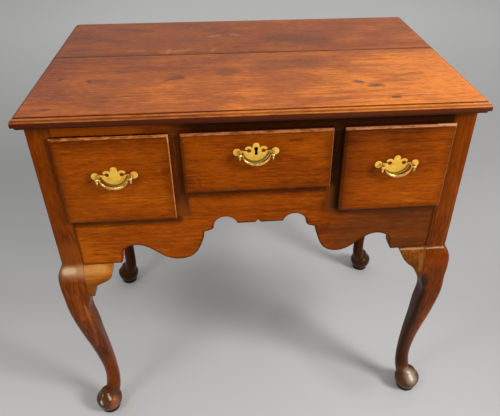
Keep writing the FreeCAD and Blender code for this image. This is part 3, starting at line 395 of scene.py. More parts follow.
rear_board_marks = [
    on_top(HAZE, 0.60, 0.0160, -0.279, 0.200, -0.202, 0.186),
    on_top(HAZE, 0.50, 0.0200, -0.330, 0.150, -0.250, 0.110),
    on_top(INK, 0.60, 0.0060, -0.021, 0.061, -0.016, 0.063),
    on_top(HAZE, 0.50, 0.0450, 0.060, 0.120, 0.150, 0.090),
    on_top(INK, 0.85, 0.0058, -TOP_HALF_WIDTH, TOP_SEAM, TOP_HALF_WIDTH, TOP_SEAM),
    on_top(PALE, 0.22, 0.0060, -0.232, 0.054, -0.204, 0.055),
    on_top(PALE, 0.22, 0.0065, -0.156, 0.034, -0.152, 0.056),
    on_top(PALE, 0.26, 0.0050, -0.143, 0.042, -0.136, 0.050),
    on_top(PALE, 0.24, 0.0070, -0.126, 0.046, -0.112, 0.056),
    on_top(PALE, 0.20, 0.0060, -0.070, 0.036, -0.064, 0.054),
    on_top(HAZE, 0.50, 0.0080, -0.110, 0.036, -0.072, 0.034),
    on_top(HAZE, 0.45, 0.0110, -0.330, 0.036, -0.180, 0.036),
    on_top(PALE, 0.30, 0.0055, -0.075, 0.133, -0.052, 0.144),
    on_top(PALE, 0.28, 0.0050, -0.028, 0.146, -0.010, 0.138),
]
# The boards' drift is painted light: both pale towards the right, the front board towards the right
# front as well, where the lamp falls.
board_finishes = {
    "top_front_board": oak("front board oak", *FRONT_BOARD_TONES, heart=(-0.12, 0.60),
                           drift_and_painted_light=((0.55, -0.60, 0.0), -0.04), marks=front_board_marks, figure=0.75,
                           sheen=0.3, rubbed_and_highlit=(236, 160, 96), dirt_and_shade=(64, 10, 0)),
    "top_rear_board": oak("rear board oak", *REAR_BOARD_TONES, heart=(0.16, 0.56), shift=2.3,
                          drift_and_painted_light=((0.25, 0.0, 0.0), 0.0), marks=rear_board_marks,
                          sheen=0.25, rubbed_and_highlit=(200, 124, 64), dirt_and_shade=(50, 18, 4)),
}


# How much the moulded edge is rubbed pale and blackened down to each depth under the top's face:
# the pale is wear and painted highlight, the black below the ovolo painted shade with dirt.
EDGE_WEAR_AND_PAINTED_LIGHT = ((0.0017, (0.0, 0.65)), (0.0032, (0.35, 0.25)), (0.0050, (0.0, 0.65)),
             (0.0075, (0.25, 0.35)), (TOP_FACE, (0.0, 0.95)))


def edge_gap(point):
    """How far a point of the top is from its nearest moulded edge."""
    return min(TOP_HALF_WIDTH - abs(point.x), point.y - TOP_FRONT)


def moulded(point):
    """Whether a point of the top stands where the moulded edge is knocked, clear of the seam."""
    return (edge_gap(point) < KNOCKED_EDGE and abs(point.y - TOP_SEAM) > SEAM_CLEAR
            and point.y < TOP_BACK - HAIR)


def under_edge(point):
    """Where a knock on the moulded edge drives the wood: inwards, back and down."""
    return 0.985 * point.x, point.y + 0.004, point.z - 0.002


for board, front, back in (("top_front_board", TOP_FRONT, TOP_SEAM),
                           ("top_rear_board", TOP_SEAM, TOP_BACK)):
    shape = merged_copy(board)
    ease_arrises(shape, 0.0005, turn=22.0, rub=0.5, soil=0.0)
    rough = random.Random(board)
    saw_lines(shape, (1, 0, 0), -TOP_HALF_WIDTH + FIRST_CUT, TOP_HALF_WIDTH - FIRST_CUT,
              ALONG_PITCH, rough)
    saw_lines(shape, (0, 1, 0), front + FIRST_CUT, back - LAST_CUT, ACROSS_PITCH, rough)
    wear_and_highlight, grime_and_shade = (shape.faces.layers.float[layer] for layer in ("wear_and_highlight", "grime_and_shade"))
    for face in shape.faces:
        centre = face.calc_center_median()
        gap = edge_gap(centre)
        if gap < MOULDING and centre.z < TOP_FACE - HAIR:
            face[wear_and_highlight], face[grime_and_shade] = next(wear_and_light for depth, wear_and_light in EDGE_WEAR_AND_PAINTED_LIGHT
                                            if TOP_FACE - centre.z < depth)
        # The quirk: a dark line of painted shade and dirt. The seam below is a dark joint.
        if OVOLO - DIRT_AND_SHADE_LINE < gap < OVOLO + DIRT_AND_SHADE_LINE and TOP_FACE - FILLET_DEPTH < centre.z:
            face[wear_and_highlight], face[grime_and_shade] = 0.0, 0.8
        if abs(centre.y - TOP_SEAM) < DIRT_AND_SHADE_LINE:
            face[wear_and_highlight], face[grime_and_shade] = 0.0, 1.0
    bruise(shape, under_edge, depth=0.0007, chosen=moulded)
    finish_off(shape, board, "case", board_finishes[board])


# ---------------------------------------------------------------------------
# The legs: each one length of oak, square where it is a corner post of the
# case, then sawn and spokeshaved to a cabriole with a turned pad foot.

LEG_TONES = ((50, 16, 0), (108, 44, 0), (154, 74, 12))
# The rear legs are the same oak in painted shade, darker.
SHADED_REAR_LEG_TONES = ((24, 6, 0), (58, 18, 2), (92, 38, 10))
WARM_GLOW = (255, 190, 110)
KNEE_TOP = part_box("front_left_knee_bracket")[1].z
ANKLE, TREAD, SOLE = 0.075, 0.02, 0.006
FOOT_WEAR, SOLE_DIRT = 0.3, 0.6
# Painted highlights: a scuffed sheen, a broad highlight and a bright glint.
SCUFF_AND_HIGHLIGHT, PAINTED_HIGHLIGHT, PAINTED_GLINT = (206, 122, 70), (252, 206, 150), (255, 234, 208)
# Dark colours for painted shade; the soot colour also for dark spots.
PAINTED_DEEP_SHADE, SOOT_AND_SHADE, PAINTED_UMBER_SHADE = (34, 26, 20), (46, 14, 2), (50, 26, 14)
CRACK, HAZEL = (40, 14, 4), (136, 66, 12)

# Each leg: its tones, the colour its foot has worn to (on the rear legs darker with painted shade),
# its shine, how deep the painted shade on its inward side is, and its marks, among them painted
# highlights and painted shade.
legs = {
    "front_left_leg": (LEG_TONES, (72, 52, 40), 0.18, 0.10, [
        # A painted highlight down the front of the shin.
        (SCUFF_AND_HIGHLIGHT, 0.28, 0.0040, (-0.3376, -0.2408, 0.3461), (-0.3355, -0.2386, 0.3079)),
        (SCUFF_AND_HIGHLIGHT, 0.22, 0.0036, (-0.3355, -0.2386, 0.3079), (-0.3343, -0.2338, 0.2654)),
        (SCUFF_AND_HIGHLIGHT, 0.12, 0.0040, (-0.3343, -0.2338, 0.2654), (-0.3377, -0.2269, 0.2188)),
        ((150, 66, 8), 0.20, 0.0600, (-0.352, -0.232, 0.5500), (-0.352, -0.232, 0.7000)),
        (HAZEL, 0.60, 0.0450, (-0.362, -0.229, 0.462), (-0.344, -0.229, 0.462)),
        (CRACK, 0.50, 0.0030, (-0.362, -0.233, 0.4400), (-0.326, -0.233, 0.4400)),
        # Painted highlights on the knee's shoulder.
        (PAINTED_HIGHLIGHT, 0.12, 0.0230, (-0.358, -0.240, 0.4280), (-0.326, -0.240, 0.4280)),
        (PAINTED_HIGHLIGHT, 0.20, 0.0150, (-0.356, -0.236, 0.4300), (-0.330, -0.236, 0.4300)),
        (PAINTED_GLINT, 0.28, 0.0095, (-0.358, -0.236, 0.4310), (-0.344, -0.236, 0.4310)),
        # Painted highlights on the foot.
        (PAINTED_GLINT, 0.50, 0.0042, (-0.3430, -0.2290, 0.0550), (-0.3390, -0.2345, 0.0460)),
        (PAINTED_GLINT, 0.35, 0.0036, (-0.3560, -0.2300, 0.0560), (-0.3610, -0.2380, 0.0420)),
        (PAINTED_GLINT, 0.50, 0.0044, (-0.3600, -0.2380, 0.0420), (-0.3570, -0.2400, 0.0380)),
        (SCUFF_AND_HIGHLIGHT, 0.40, 0.0160, (-0.3300, -0.2400, 0.0300), (-0.3250, -0.2350, 0.0450))]),
    "front_right_leg": (LEG_TONES, (76, 54, 42), 0.16, 0.55, [
        ((166, 78, 14), 0.20, 0.0600, (0.352, -0.232, 0.5500), (0.352, -0.232, 0.7000)),
        # A painted highlight along the top of the knee.
        (PAINTED_GLINT, 0.30, 0.0026, (0.320, -0.232, 0.4370), (0.364, -0.232, 0.4370)),
        ((140, 52, 14), 0.40, 0.0200, (0.332, -0.240, 0.4080), (0.358, -0.240, 0.4080)),
        # Painted shade down the inner side and the front of the leg.
        (PAINTED_UMBER_SHADE, 0.55, 0.0240, (0.3290, -0.2400, 0.3300), (0.3290, -0.2230, 0.2326)),
        (PAINTED_UMBER_SHADE, 0.70, 0.0280, (0.3290, -0.2230, 0.2326), (0.3310, -0.2154, 0.0871)),
        # Painted highlights on the foot.
        (PAINTED_GLINT, 0.30, 0.0190, (0.3540, -0.2280, 0.0560), (0.3600, -0.2370, 0.0420)),
        (PAINTED_GLINT, 0.85, 0.0060, (0.3520, -0.2260, 0.0600), (0.3590, -0.2370, 0.0430)),
        # Painted shade on the leg beside the bracket and on its inner side below it.
        (PAINTED_DEEP_SHADE, 0.85, 0.0130, (0.3270, -0.2400, 0.3720), (0.3330, -0.2400, 0.3520)),
        (SOOT_AND_SHADE, 0.85, 0.0260, (0.3130, -0.2250, 0.3700), (0.3190, -0.2200, 0.3450))]),
    "rear_left_leg": (SHADED_REAR_LEG_TONES, (44, 24, 14), 0.20, 0.85, []),
    "rear_right_leg": (SHADED_REAR_LEG_TONES, (52, 34, 24), 0.16, 0.85, []),
}
for number, (leg, (tones, foot_wear_and_shade, sheen, inward_shade, marks)) in enumerate(legs.items()):
    low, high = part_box(leg)
    middle = (low + high) / 2
    shape = merged_copy(leg)
    tread = [vert.co for vert in shape.verts if vert.co.z < TREAD]
    foot = sum(tread, Vector()) / len(tread)
    foot_mark = (foot_wear_and_shade, 0.8, 0.090, (foot.x, foot.y, 0.0), (foot.x, foot.y, 0.012))
    finish = oak(f"{leg} oak", *tones, grain="ZXY", heart=(middle.x + 0.02, middle.y + 0.035),
                 shift=0.7 * number, figure=1.2, marks=[foot_mark] + marks, gloss=0.22,
                 sheen=sheen, rubbed_and_highlit=foot_wear_and_shade, dirt_and_shade=(22, 8, 2), glow=WARM_GLOW)
    ease_arrises(shape, 0.0008, above=KNEE_TOP - 0.02)
    wear_and_highlight, grime_and_shade = (shape.faces.layers.float[layer] for layer in ("wear_and_highlight", "grime_and_shade"))
    for face in shape.faces:
        centre = face.calc_center_median()
        inward = -face.normal.x * math.copysign(1.0, middle.x)
        if centre.z < ANKLE:
            face[wear_and_highlight] = max(face[wear_and_highlight], min(FOOT_WEAR, (ANKLE - centre.z) / 0.1))
        # The inward side of each leg in painted shade.
        elif centre.z < KNEE_TOP and inward > 0.1:
            face[grime_and_shade] = inward_shade * min(1.0, (inward - 0.1) / 0.6)
        if centre.z < SOLE:
            face[grime_and_shade] = SOLE_DIRT
    finish_off(shape, leg, "case", finish, turn=24.0)


# ---------------------------------------------------------------------------
# The front of the case: a rail over the drawers and the scalloped apron, both
# tenoned to the posts, and two uprights between the drawers, halved into them.

FRONT_TONES = ((98, 34, 0), (150, 66, 0), (186, 94, 10))
RAIL_TONES = ((76, 26, 0), (126, 52, 2), (160, 76, 12))
MUNTIN_TONES = ((44, 16, 2), (84, 34, 6), (112, 52, 14))
# The right upright's tones are painted shade.
SHADED_MUNTIN_TONES = ((12, 3, 0), (36, 10, 2), (64, 26, 6))
SHADE = (26, 4, 0)
CASE_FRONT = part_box("apron")[0].y
SHADE_START, SHADE_DROP = 0.008, 0.004
BACKWARD = (0.0, 1.0, 0.0)
POLISH_DEPTH = 0.003  # how far the polish has run round to the inside
LOOKS_FORWARD = 0.97  # a face turned more squarely to the front than this is flat
APRON_RIM = ((0.0014, 0.6), (0.0016, 0.3))
CLEAN_JOINT = 0.15


def on_case(mark_shade, strength, reach, x, z, end_x, end_z):
    """A mark on the front of the case, from one point to another."""
    return mark_shade, strength, reach, (x, CASE_FRONT, z), (end_x, CASE_FRONT, end_z)


# Painted shade on the apron under each drawer front.
painted_shade_under_drawers = []
for name in ("left", "centre", "right"):
    low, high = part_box(f"{name}_drawer_front")
    painted_shade_under_drawers.append(on_case(SHADE, 0.70, 0.015, low.x + SHADE_START, low.z - SHADE_DROP,
                                 high.x, low.z - SHADE_DROP))
# On the apron, painted shade under the right upright and a darker stretch at its right; on the top
# rail, painted light on its left part, painted shade under the top and a painted shadow line over
# the left drawer's lip; on the uprights, paler feet.
rail_marks = {
    "apron": painted_shade_under_drawers + [
        on_case(SHADE, 0.60, 0.028, 0.128, 0.545, 0.150, 0.545),
        on_case((82, 44, 20), 0.60, 0.110, 0.200, 0.470, 0.340, 0.500)],
    "top_rail": [
        on_case((168, 78, 6), 0.85, 0.045, -0.320, 0.706, -0.215, 0.706),
        on_case(SHADE, 0.92, 0.100, -0.070, 0.712, 0.300, 0.712),
        on_case(SHADE, 0.95, 0.0014, -0.326, 0.7003, -0.160, 0.7003)],
    "left_muntin": [on_case((124, 58, 8), 0.92, 0.034, -0.140, 0.520, -0.140, 0.545)],
    "right_muntin": [on_case((112, 52, 12), 0.90, 0.022, 0.118, 0.540, 0.118, 0.580)],
}


def soil_rim(shape, borders, clean_above):
    """Cuts borders into the front face, soiled along the sawn edge and clean at the joints."""
    front = max((face for face in shape.faces if face.normal.y < -LOOKS_FORWARD),
                key=lambda face: face.calc_area())
    grime_and_shade = shape.faces.layers.float["grime_and_shade"]
    for width, soil in borders:
        made = bmesh.ops.inset_region(shape, faces=[front], thickness=width,
                                      use_even_offset=True)
        for face in made["faces"]:
            face[grime_and_shade] = soil
    for face in shape.faces:
        if face.calc_center_median().z > clean_above:
            face[grime_and_shade] = min(face[grime_and_shade], CLEAN_JOINT)


for rail, slot, tones, grain, heart, shift, drift_and_painted_light, soil in (
        ("top_rail", "frame_wood", RAIL_TONES, "XYZ", (-0.19, 0.66), 1.1, None, 0.65),
        ("apron", "front_wood", FRONT_TONES, "XZY", (0.47, -0.14), 4.2,
         ((-0.5, 0.0, 0.0), -0.06), 0.65),
        ("left_muntin", "frame_wood", MUNTIN_TONES, "ZXY", (-0.16, -0.17), 5.3, None, 0.1),
        ("right_muntin", "frame_wood", SHADED_MUNTIN_TONES, "ZXY", (0.10, -0.18), 6.1, None, 0.1)):
    low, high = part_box(rail)
    finish = oak(f"{rail} oak", *tones, grain=grain, heart=heart, shift=shift, drift_and_painted_light=drift_and_painted_light,
                 marks=rail_marks[rail], sheen=0.14, glow=WARM_GLOW,
                 bare=(BACKWARD, high.y - POLISH_DEPTH))
    shape = merged_copy(rail)
    ease_arrises(shape, 0.0009, rub=0.1, soil=soil)
    if rail == "apron":
        soil_rim(shape, APRON_RIM, clean_above=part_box("left_muntin")[0].z - 0.002)
    finish_off(shape, rail, "case", finish)


# ---------------------------------------------------------------------------
# The knee brackets: shaped blocks glued beside each knee, under the apron and
# under the side boards. The left one at the front is of paler wood.

HONEY_TONES = ((118, 54, 6), (174, 96, 20), (212, 142, 62))
AMBER_TONES = ((58, 22, 0), (98, 46, 6), (150, 86, 30))
# Painted highlights along the tops of the front brackets, and painted shade at the left end of the
# right one.
bracket_marks = {
    "front_left_knee_bracket": [
        (HONEY_TONES[2], 0.40, 0.0220, (-0.322, -0.236, 0.4280), (-0.290, -0.236, 0.4280)),
        (PAINTED_HIGHLIGHT, 0.14, 0.0120, (-0.322, -0.236, 0.4310), (-0.290, -0.235, 0.4310)),
        (LEG_TONES[1], 0.75, 0.0380, (-0.322, -0.238, 0.3800), (-0.280, -0.238, 0.3900))],
    "front_right_knee_bracket": [
        (PAINTED_HIGHLIGHT, 0.25, 0.0028, (0.262, -0.231, 0.4365), (0.318, -0.231, 0.4365)),
        (SOOT_AND_SHADE, 0.50, 0.0180, (0.255, -0.237, 0.4300), (0.262, -0.237, 0.3950)),
        (HONEY_TONES[2], 0.18, 0.0070, (0.3165, -0.240, 0.425), (0.3175, -0.240, 0.390))],
}
for bracket, grain, tones, slot, shift in (
        ("front_left_knee_bracket", "XZY", HONEY_TONES, "front_wood", 0.4),
        ("front_right_knee_bracket", "ZXY", AMBER_TONES, "front_wood", 1.9),
        ("front_left_side_bracket", "YZX", LEG_TONES, "frame_wood", 2.2),
        ("front_right_side_bracket", "YZX", LEG_TONES, "frame_wood", 3.1),
        ("rear_left_side_bracket", "YZX", LEG_TONES, "frame_wood", 4.5),
        ("rear_right_side_bracket", "YZX", LEG_TONES, "frame_wood", 5.6)):
    finish = oak(f"{bracket} wood", *tones, grain=grain, heart=(0.3, 0.1), shift=shift,
                 marks=bracket_marks.get(bracket, ()), gloss=0.3, sheen=0.2, glow=WARM_GLOW)
    dress(bracket, "case", slot, finish, arris=0.0008, rub=0.3, soil=0.4)


# ---------------------------------------------------------------------------
# The sides: one wide board each, tongued into the posts and held by oak pegs
# that are driven through the joints and cut off flush.

PEG_TONES = ((60, 28, 10), (98, 54, 24), (130, 80, 42))
for side, shift, inward in (("left_side_panel", 7.4, 1.0), ("right_side_panel", 8.9, -1.0)):
    low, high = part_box(side)
    inner_face = min(abs(low.x), abs(high.x))
    finish = oak(f"{side} oak", *FRONT_TONES, grain="YZX", heart=(0.55, 0.0), shift=shift,
                 bare=((inward, 0.0, 0.0), -inner_face - POLISH_DEPTH))
    dress(side, "case", "side_wood", finish)
dress("side_pegs", "case", "peg_wood", oak("peg oak", *PEG_TONES, gloss=0.5), arris=0.0003, rub=0.6)


# ---------------------------------------------------------------------------
# Inside the case: the back board, two partitions, runners, guides, kickers
# and rubbed glue blocks, all of bare dry oak that was never polished.

LINING_TONES = ((104, 70, 38), (150, 110, 68), (182, 144, 98))
bare_oak = {
    grain: oak(f"bare oak {grain}", *LINING_TONES, grain=grain, heart=(0.06, 0.5), shift=shift,
               gloss=0.75, sheen=0.2, rubbed_and_highlit=(190, 154, 108), dirt_and_shade=(70, 44, 22))
    for shift, grain in enumerate(("XZY", "YZX", "YXZ", "ZXY"))
}
for inner, grain in (("back_panel", "XZY"), ("left_partition", "YZX"), ("right_partition", "YZX"),
                     ("left_drawer_runners", "YXZ"), ("centre_drawer_runners", "YXZ"),
                     ("right_drawer_runners", "YXZ"), ("drawer_guides", "YXZ"),
                     ("drawer_kickers", "YXZ"), ("glue_blocks", "ZXY")):
    dress(inner, "case", "lining_wood", bare_oak[grain], arris=0.0005)


# ---------------------------------------------------------------------------
# The drawer fronts: oak with a thumb moulding worked round a lip that laps
# the case. The lips are chipped and rubbed pale where hands have pulled them,
# with painted highlights on them, painted shade round the fronts and a painted
# shadow under each handle.

LIP_WIDTH, SIDE_LIP_WIDTH = 0.0040, 0.0016
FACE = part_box("centre_drawer_front")[0].y
LIP_ROUND, LIP_BACK = FACE + 0.003, CASE_FRONT
LIP_SHOULDER, LIP_SIDE, LIP_DEPTH = 0.0046, 0.0042, 0.007
KNOCKED_LIP = 0.003
LIP_PINK, LIP_ORANGE = (222, 150, 104), (214, 132, 70)

# Each drawer: its own figure, the colour of its rubbed lip, how far its top, left and right lips
# are rubbed pale with painted highlight, how black the gap over its lip is with painted shade and
# dirt, which way it pales with painted shade, darker towards the top on the left and right
# drawers and to the left on the right one, and its marks.
drawer_fronts = {
    "left": (0.0, LIP_ORANGE, (0.85, 0.0, 0.7), 1.0, ((0.0, 0.0, -0.7), 0.42), [
        (SOOT_AND_SHADE, 0.90, 0.0020, (-0.1659, FACE, 0.5609), (-0.1659, FACE, 0.5609)),
        (SOOT_AND_SHADE, 0.90, 0.0020, (-0.1674, FACE, 0.5470), (-0.1674, FACE, 0.5470)),
        (SOOT_AND_SHADE, 0.35, 0.0080, (-0.1560, FACE, 0.6350), (-0.1500, FACE, 0.6350)),
        # A painted highlight on the lip's top right corner, and pale wear with a painted highlight
        # down its right side.
        (PAINTED_HIGHLIGHT, 0.85, 0.0030, (-0.1440, LIP_ROUND, 0.7005), (-0.1436, LIP_ROUND, 0.6880)),
        (LIP_PINK, 0.60, 0.0016, (-0.1434, LIP_ROUND, 0.6880), (-0.1434, LIP_ROUND, 0.5560))]),
    "centre": (3.6, LIP_PINK, (0.45, 0.0, 0.4), 0.6, ((0.0, 0.0, 0.0), -0.05), [
        (SOOT_AND_SHADE, 0.45, 0.0050, (0.055, FACE, 0.683), (0.072, FACE, 0.683)),
        (SOOT_AND_SHADE, 0.35, 0.0040, (-0.100, FACE, 0.617), (-0.098, FACE, 0.606))]),
    "right": (6.4, LIP_PINK, (0.6, 0.0, 0.35), 0.5, ((0.5, 0.0, -0.9), 0.40), [
        # Painted highlights along the lip's top and down its right side.
        (PAINTED_HIGHLIGHT, 0.85, 0.0040, (0.2990, LIP_ROUND, 0.7002), (0.3290, LIP_ROUND, 0.7002)),
        (PAINTED_HIGHLIGHT, 0.60, 0.0014, (0.3300, LIP_ROUND, 0.6980), (0.3300, LIP_ROUND, 0.6300)),
        # Painted shade down the left and across the top of the front.
        (SOOT_AND_SHADE, 0.25, 0.0700, (0.125, FACE, 0.720), (0.125, FACE, 0.560)),
        (SOOT_AND_SHADE, 0.36, 0.0600, (0.140, FACE, 0.700), (0.255, FACE, 0.700)),
        ((80, 20, 2), 0.26, 0.0320, (0.140, FACE, 0.630), (0.235, FACE, 0.634)),
        (SOOT_AND_SHADE, 0.85, 0.0016, (0.2798, FACE, 0.694), (0.2800, FACE, 0.704))]),
}
for name, (shift, lip_pale_and_highlit, lip_wear_and_highlight, gap_shade_and_dirt, drift_and_painted_light, marks) in drawer_fronts.items():
    node = f"{name}_drawer_front"
    low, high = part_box(node)
    middle = (low + high) / 2
    plate_low, plate_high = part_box(f"{name}_handle_plate")
    handle_across = (plate_low.x + plate_high.x) / 2
    # A painted shadow under the handle, reaching further to the left.
    painted_handle_shadow = (SOOT_AND_SHADE, 0.4, 0.026, (handle_across - 0.032, FACE, plate_low.z + 0.012),
            (handle_across + 0.026, FACE, plate_low.z + 0.012))
    # The front darkens towards its outline with painted shade and dirt.
    finish = oak(f"{node} oak", *FRONT_TONES, grain="XZY", heart=(low.z + 0.02, -0.15), shift=shift,
                 figure=0.55, drift_and_painted_light=drift_and_painted_light, marks=[painted_handle_shadow] + marks, shaded_and_soiled=(low, high, 0.022, 0.42),
                 rubbed_and_highlit=lip_pale_and_highlit, dirt_and_shade=(40, 12, 0), sheen=0.16, glow=WARM_GLOW,
                 bare=(BACKWARD, LIP_BACK + 0.001))
    shape = merged_copy(node)
    ease_arrises(shape, 0.0004, rub=0.0, soil=0.3)
    rough = random.Random(node)
    saw_lines(shape, (1, 0, 0), low.x + ALONG_PITCH, high.x - LAST_CUT, ALONG_PITCH, rough)
    saw_lines(shape, (0, 0, 1), low.z + ALONG_PITCH, high.z - LAST_CUT, ALONG_PITCH, rough)
    wear_and_highlight, grime_and_shade = (shape.faces.layers.float[layer] for layer in ("wear_and_highlight", "grime_and_shade"))
    for face in shape.faces:
        centre = face.calc_center_median()
        if not FACE - 2 * HAIR < centre.y < LIP_BACK + HAIR:
            continue
        # The rounds of the lips rubbed pale: wear with painted highlight.
        gaps = high.z - centre.z, centre.x - low.x, high.x - centre.x
        rounded = centre.y < FACE + LIP_SHOULDER and abs(face.normal.y) < LOOKS_FORWARD
        for gap, wear_and_light, width in zip(gaps, lip_wear_and_highlight, (LIP_WIDTH, SIDE_LIP_WIDTH, SIDE_LIP_WIDTH)):
            if rounded and gap < width:
                face[wear_and_highlight] = max(face[wear_and_highlight], wear_and_light)
        # The faces behind the lip's round: painted shade with dirt, blackest over the top lip.
        if centre.y > FACE + LIP_SIDE:
            face[grime_and_shade] = gap_shade_and_dirt if gaps[0] < HAIR else 0.5

    def behind_lip(point):
        """A place inside the drawer, which a knock on its lip drives the wood towards."""
        return middle.x, point.y + 0.02, middle.z

    def on_lip(point):
        """Whether a point stands on the lip, where the drawer is knocked."""
        rim = min(point.x - low.x, high.x - point.x, point.z - low.z, high.z - point.z)
        return rim < KNOCKED_LIP and point.y < FACE + LIP_DEPTH

    bruise(shape, behind_lip, depth=0.0005, chosen=on_lip)
    finish_off(shape, node, f"{name}_drawer", finish)


# ---------------------------------------------------------------------------
# The drawer linings: thin oak sides, dovetailed to the front and the back,
# and a bottom held in grooves. Never polished.

for name in ("left", "centre", "right"):
    for part, grain in (("left_side", "YZX"), ("right_side", "YZX"), ("back", "XZY"),
                        ("bottom", "YXZ")):
        dress(f"{name}_drawer_{part}", f"{name}_drawer", "lining_wood", bare_oak[grain],
              arris=0.0004)


# ---------------------------------------------------------------------------
# The handles: a pierced plate of cast and filed brass, two turned posts held
# by nuts inside, and a swan-neck bail that swings on pins in their balls.

PLATE_SHADES = ((255, 214, 86), (255, 188, 56), (200, 126, 30))
BAIL_SHADES = ((246, 206, 114), (208, 154, 64), (116, 80, 28))
RIM_SHADE, RUBBED_AND_HIGHLIT_BRASS = (62, 50, 8), (255, 232, 160)
# The bowl's lower rim carries a painted shadow under the bail, a little off the bowl's own centre.
BOWL_RADIUS = 0.0235
BOWL_DROP = 0.0127
RIM_SHIFT = 0.0012  # the dark rim lies off the bowl's own centre, to the left and up
PLATE_RAG = 0.0006
BRASS_SWING = 0.3


def brass(name, shades, roughness, metallic, bowl=None):
    """Cast brass, cleaned where a cloth reaches, its rubbed edges pale with wear and painted
    highlight. The lower rim of the plate's bowl carries painted shade under the bail.
    """
    bright, deep, tarnish = shades
    metal = Finish(name)
    clouds = metal.cloudy(metal.place, (120.0, 120.0, 120.0), detail=4.0, rough=0.6)
    fine = metal.cloudy(metal.place, (900.0, 900.0, 900.0), detail=3.0, rough=0.6)
    spots = metal.cloudy(metal.place, (210.0, 210.0, 260.0), detail=3.0, rough=0.7)
    stain = metal.spread(spots, 0.55, 0.72)
    colour = metal.tint(metal.spread(clouds, 0.35, 0.62), shade(*deep), shade(*bright))
    colour = metal.wash(colour, stain, 0.55, tarnish)
    if bowl:
        gone = metal.move("SUBTRACT", metal.strayed(PLATE_RAG), bowl)
        gone = metal.move("MULTIPLY", gone, (1.0, 0.0, 1.0))
        from_centre = metal.move("LENGTH", gone, output=1)
        below = metal.spread(metal.split(gone)["Z"], -0.0030, -0.0055)
        inside = metal.spread(from_centre, BOWL_RADIUS + 0.0010, BOWL_RADIUS + 0.0004)
        outside = metal.spread(from_centre, BOWL_RADIUS - 0.0034, BOWL_RADIUS - 0.0022)
        rim = metal.reckon("MULTIPLY", outside, metal.reckon("MULTIPLY", below, inside))
        colour = metal.wash(colour, rim, 0.8, RIM_SHADE)
    # Rubbed edges, pale with wear and painted highlight.
    colour = metal.wash(colour, metal.attribute("wear_and_highlight"), 0.6, RUBBED_AND_HIGHLIT_BRASS)
    gloss = metal.reckon("MULTIPLY_ADD", clouds, BRASS_SWING, roughness - BRASS_SWING / 2)
    gloss = metal.reckon("MULTIPLY_ADD", stain, 0.22, gloss)
    height = metal.reckon("MULTIPLY_ADD", fine, 0.3, clouds)
    return metal.coat(colour, gloss, height, 0.0005, Metallic=metallic)


bail_brass = brass("bail brass", BAIL_SHADES, roughness=0.24, metallic=0.85)
for name in ("left", "centre", "right"):
    handle, drawer = f"{name}_handle", f"{name}_drawer"
    low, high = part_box(f"{handle}_plate")
    bowl = (low.x + high.x) / 2 - RIM_SHIFT, low.y, high.z - BOWL_DROP + RIM_SHIFT
    plate_brass = brass(f"{name} plate brass", PLATE_SHADES, roughness=0.38, metallic=0.5,
                        bowl=bowl)
    dress(f"{handle}_plate", drawer, "brass", plate_brass, arris=0.0002, rub=1.0, soil=0.0,
          whole=False)
    for part, body in (("posts", drawer), ("bail", f"{name}_bail")):
        finish_off(merged_copy(f"{handle}_{part}"), f"{handle}_{part}", body, bail_brass,
                   turn=38.0)
    dress(f"{handle}_nuts", drawer, "brass", bail_brass, arris=0.0003, rub=0.5)


# ---------------------------------------------------------------------------
# The lock: a small forged iron box let into the back of the middle drawer
# front, with its bolt rising into the rail above.

iron = Finish("forged iron")
rust = iron.cloudy(iron.place, (90.0, 90.0, 90.0), detail=5.0, rough=0.65)
scale = iron.cloudy(iron.place, (420.0, 420.0, 420.0), detail=4.0, rough=0.6)
iron_colour = iron.tint(iron.spread(rust, 0.45, 0.68), shade(62, 54, 50), shade(104, 62, 40))
iron_colour = iron.wash(iron_colour, iron.attribute("wear_and_highlight"), 0.5, (140, 132, 126))
lock_iron = iron.coat(iron_colour, iron.reckon("MULTIPLY_ADD", rust, 0.3, 0.4),
                      iron.reckon("ADD", rust, scale), 0.0004, Metallic=0.7)
dress("lock_case", "centre_drawer", "lock_iron", lock_iron, arris=0.0004)
dress("lock_bolt", "lock_bolt", "lock_iron", lock_iron, arris=0.0004)


# ---------------------------------------------------------------------------
# The studio: a pale grey floor that runs far back, with painted shade beside and
# under the case and painted light and shade across it, with soft light all round,
# a large lamp at the right and a small one at the left.

FLOOR_REACH = 9.0
LIT_MIDDLE = 0.4
PAINTED_SHADOW_GREY = (90, 90, 90)
WORLD_STRENGTH = 0.57

# Where the floor is painted with a soft shadow: a line, how far round it, and how deep.
painted_floor_shadows = (((-0.10, 0.17, 0.0), (0.03, 0.12, 0.0), 0.24, 0.30),
                 ((-0.90, 0.13, 0.0), (-0.30, 0.02, 0.0), 0.26, 0.14),
                 ((0.10, 0.01, 0.0), (0.24, -0.17, 0.0), 0.10, 0.16))

paint = Finish("studio floor")
across, back, _ = paint.split(paint.place).values()
# Painted light and shade across the floor: its grey is lighter in front and far back, darker
# between, towards the sides and on the lamp's side.
aside = paint.reckon("ABSOLUTE", paint.reckon("SUBTRACT", across, LIT_MIDDLE))
lamp_side_painted_shade = paint.reckon("MULTIPLY", paint.spread(across, 0.15, 0.9),
                        paint.spread(back, 0.9, -0.1, 0.0, 0.52))
floor_grey = shade(200, 200, 201)
for layer, grey in ((paint.spread(back, 0.1, 0.9), (178, 178, 178)),
                    (paint.spread(back, 0.9, 3.2), (219, 219, 218)),
                    (paint.spread(aside, 0.7, 2.5, 0.0, 0.35), (150, 150, 150)),
                    (lamp_side_painted_shade, (140, 140, 140))):
    floor_grey = paint.tint(layer, floor_grey, shade(*grey))
for start, end, reach, depth in painted_floor_shadows:
    floor_grey = paint.wash(floor_grey, paint.near(start, end, reach), depth, PAINTED_SHADOW_GREY)
floor_cloud = paint.cloudy(paint.place, (2.0, 2.0, 2.0))
floor_material = paint.coat(floor_grey, 0.85, floor_cloud, 0.0002, Specular_IOR_Level=0.1)
slab = bmesh.new()
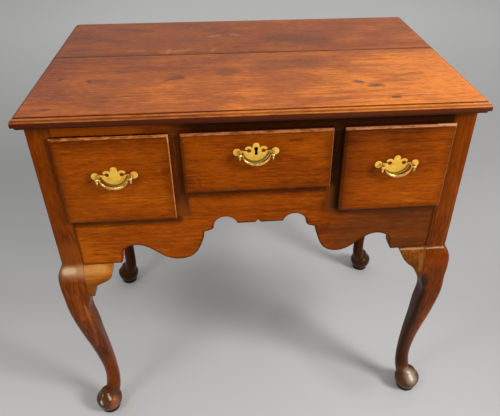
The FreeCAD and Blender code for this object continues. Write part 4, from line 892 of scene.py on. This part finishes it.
bmesh.ops.create_grid(slab, x_segments=6, y_segments=6, size=FLOOR_REACH)
floor_mesh = bpy.data.meshes.new("studio_floor")
slab.to_mesh(floor_mesh)
slab.free()
floor_mesh.materials.append(floor_material)
floor = bpy.data.objects.new("studio_floor", floor_mesh)
bpy.context.scene.collection.objects.link(floor)

studio = bpy.data.worlds.new("studio")
bpy.context.scene.world = studio
studio.use_nodes = True
sky = studio.node_tree.nodes["Background"]
sky.inputs["Color"].default_value = (1.0, 1.0, 0.99, 1.0)
sky.inputs["Strength"].default_value = WORLD_STRENGTH


def lamp(name, place, target, size, watts, colour):
    """A round lamp that stands at a place and shines at a target."""
    light = bpy.data.lights.new(name, "AREA")
    light.shape = "DISK"
    light.size = size
    light.energy = watts
    light.color = colour
    holder = bpy.data.objects.new(name, light)
    holder.location = place
    holder.rotation_euler = (Vector(target) - Vector(place)).to_track_quat("-Z", "Y").to_euler()
    bpy.context.scene.collection.objects.link(holder)


lamp("right_lamp", place=(1.76, -1.32, 1.78), target=(0.1, -0.1, 0.6), size=0.8, watts=47.0,
     colour=(1.0, 0.98, 0.94))
lamp("left_lamp", place=(-1.1, -1.1, 2.0), target=(-0.3, -0.2, 0.4), size=0.5, watts=6.0,
     colour=(1.0, 0.98, 0.95))


# ---------------------------------------------------------------------------
# The camera: it stands a little left of the middle, above the level of the
# top, and looks down on the table.

EYE = (-0.056524, -1.008433, 1.082290)
TILT, ROLL, TURN = 54.57211, 0.01604, -4.85142  # degrees, the tilt from straight down
LENS, SENSOR = 38.39395, 36.0  # millimetres
SHIFT = (-0.026721, 0.019719)

camera_data = bpy.data.cameras.new("camera")
camera_data.lens = LENS
camera_data.sensor_width = SENSOR
camera_data.sensor_fit = "HORIZONTAL"
camera_data.shift_x, camera_data.shift_y = SHIFT
camera_data.clip_end = 60.0
camera = bpy.data.objects.new("camera", camera_data)
camera.location = EYE
camera.rotation_euler = [math.radians(angle) for angle in (TILT, ROLL, TURN)]
bpy.context.scene.collection.objects.link(camera)
bpy.context.scene.camera = camera

bpy.context.scene.view_settings.view_transform = "Standard"
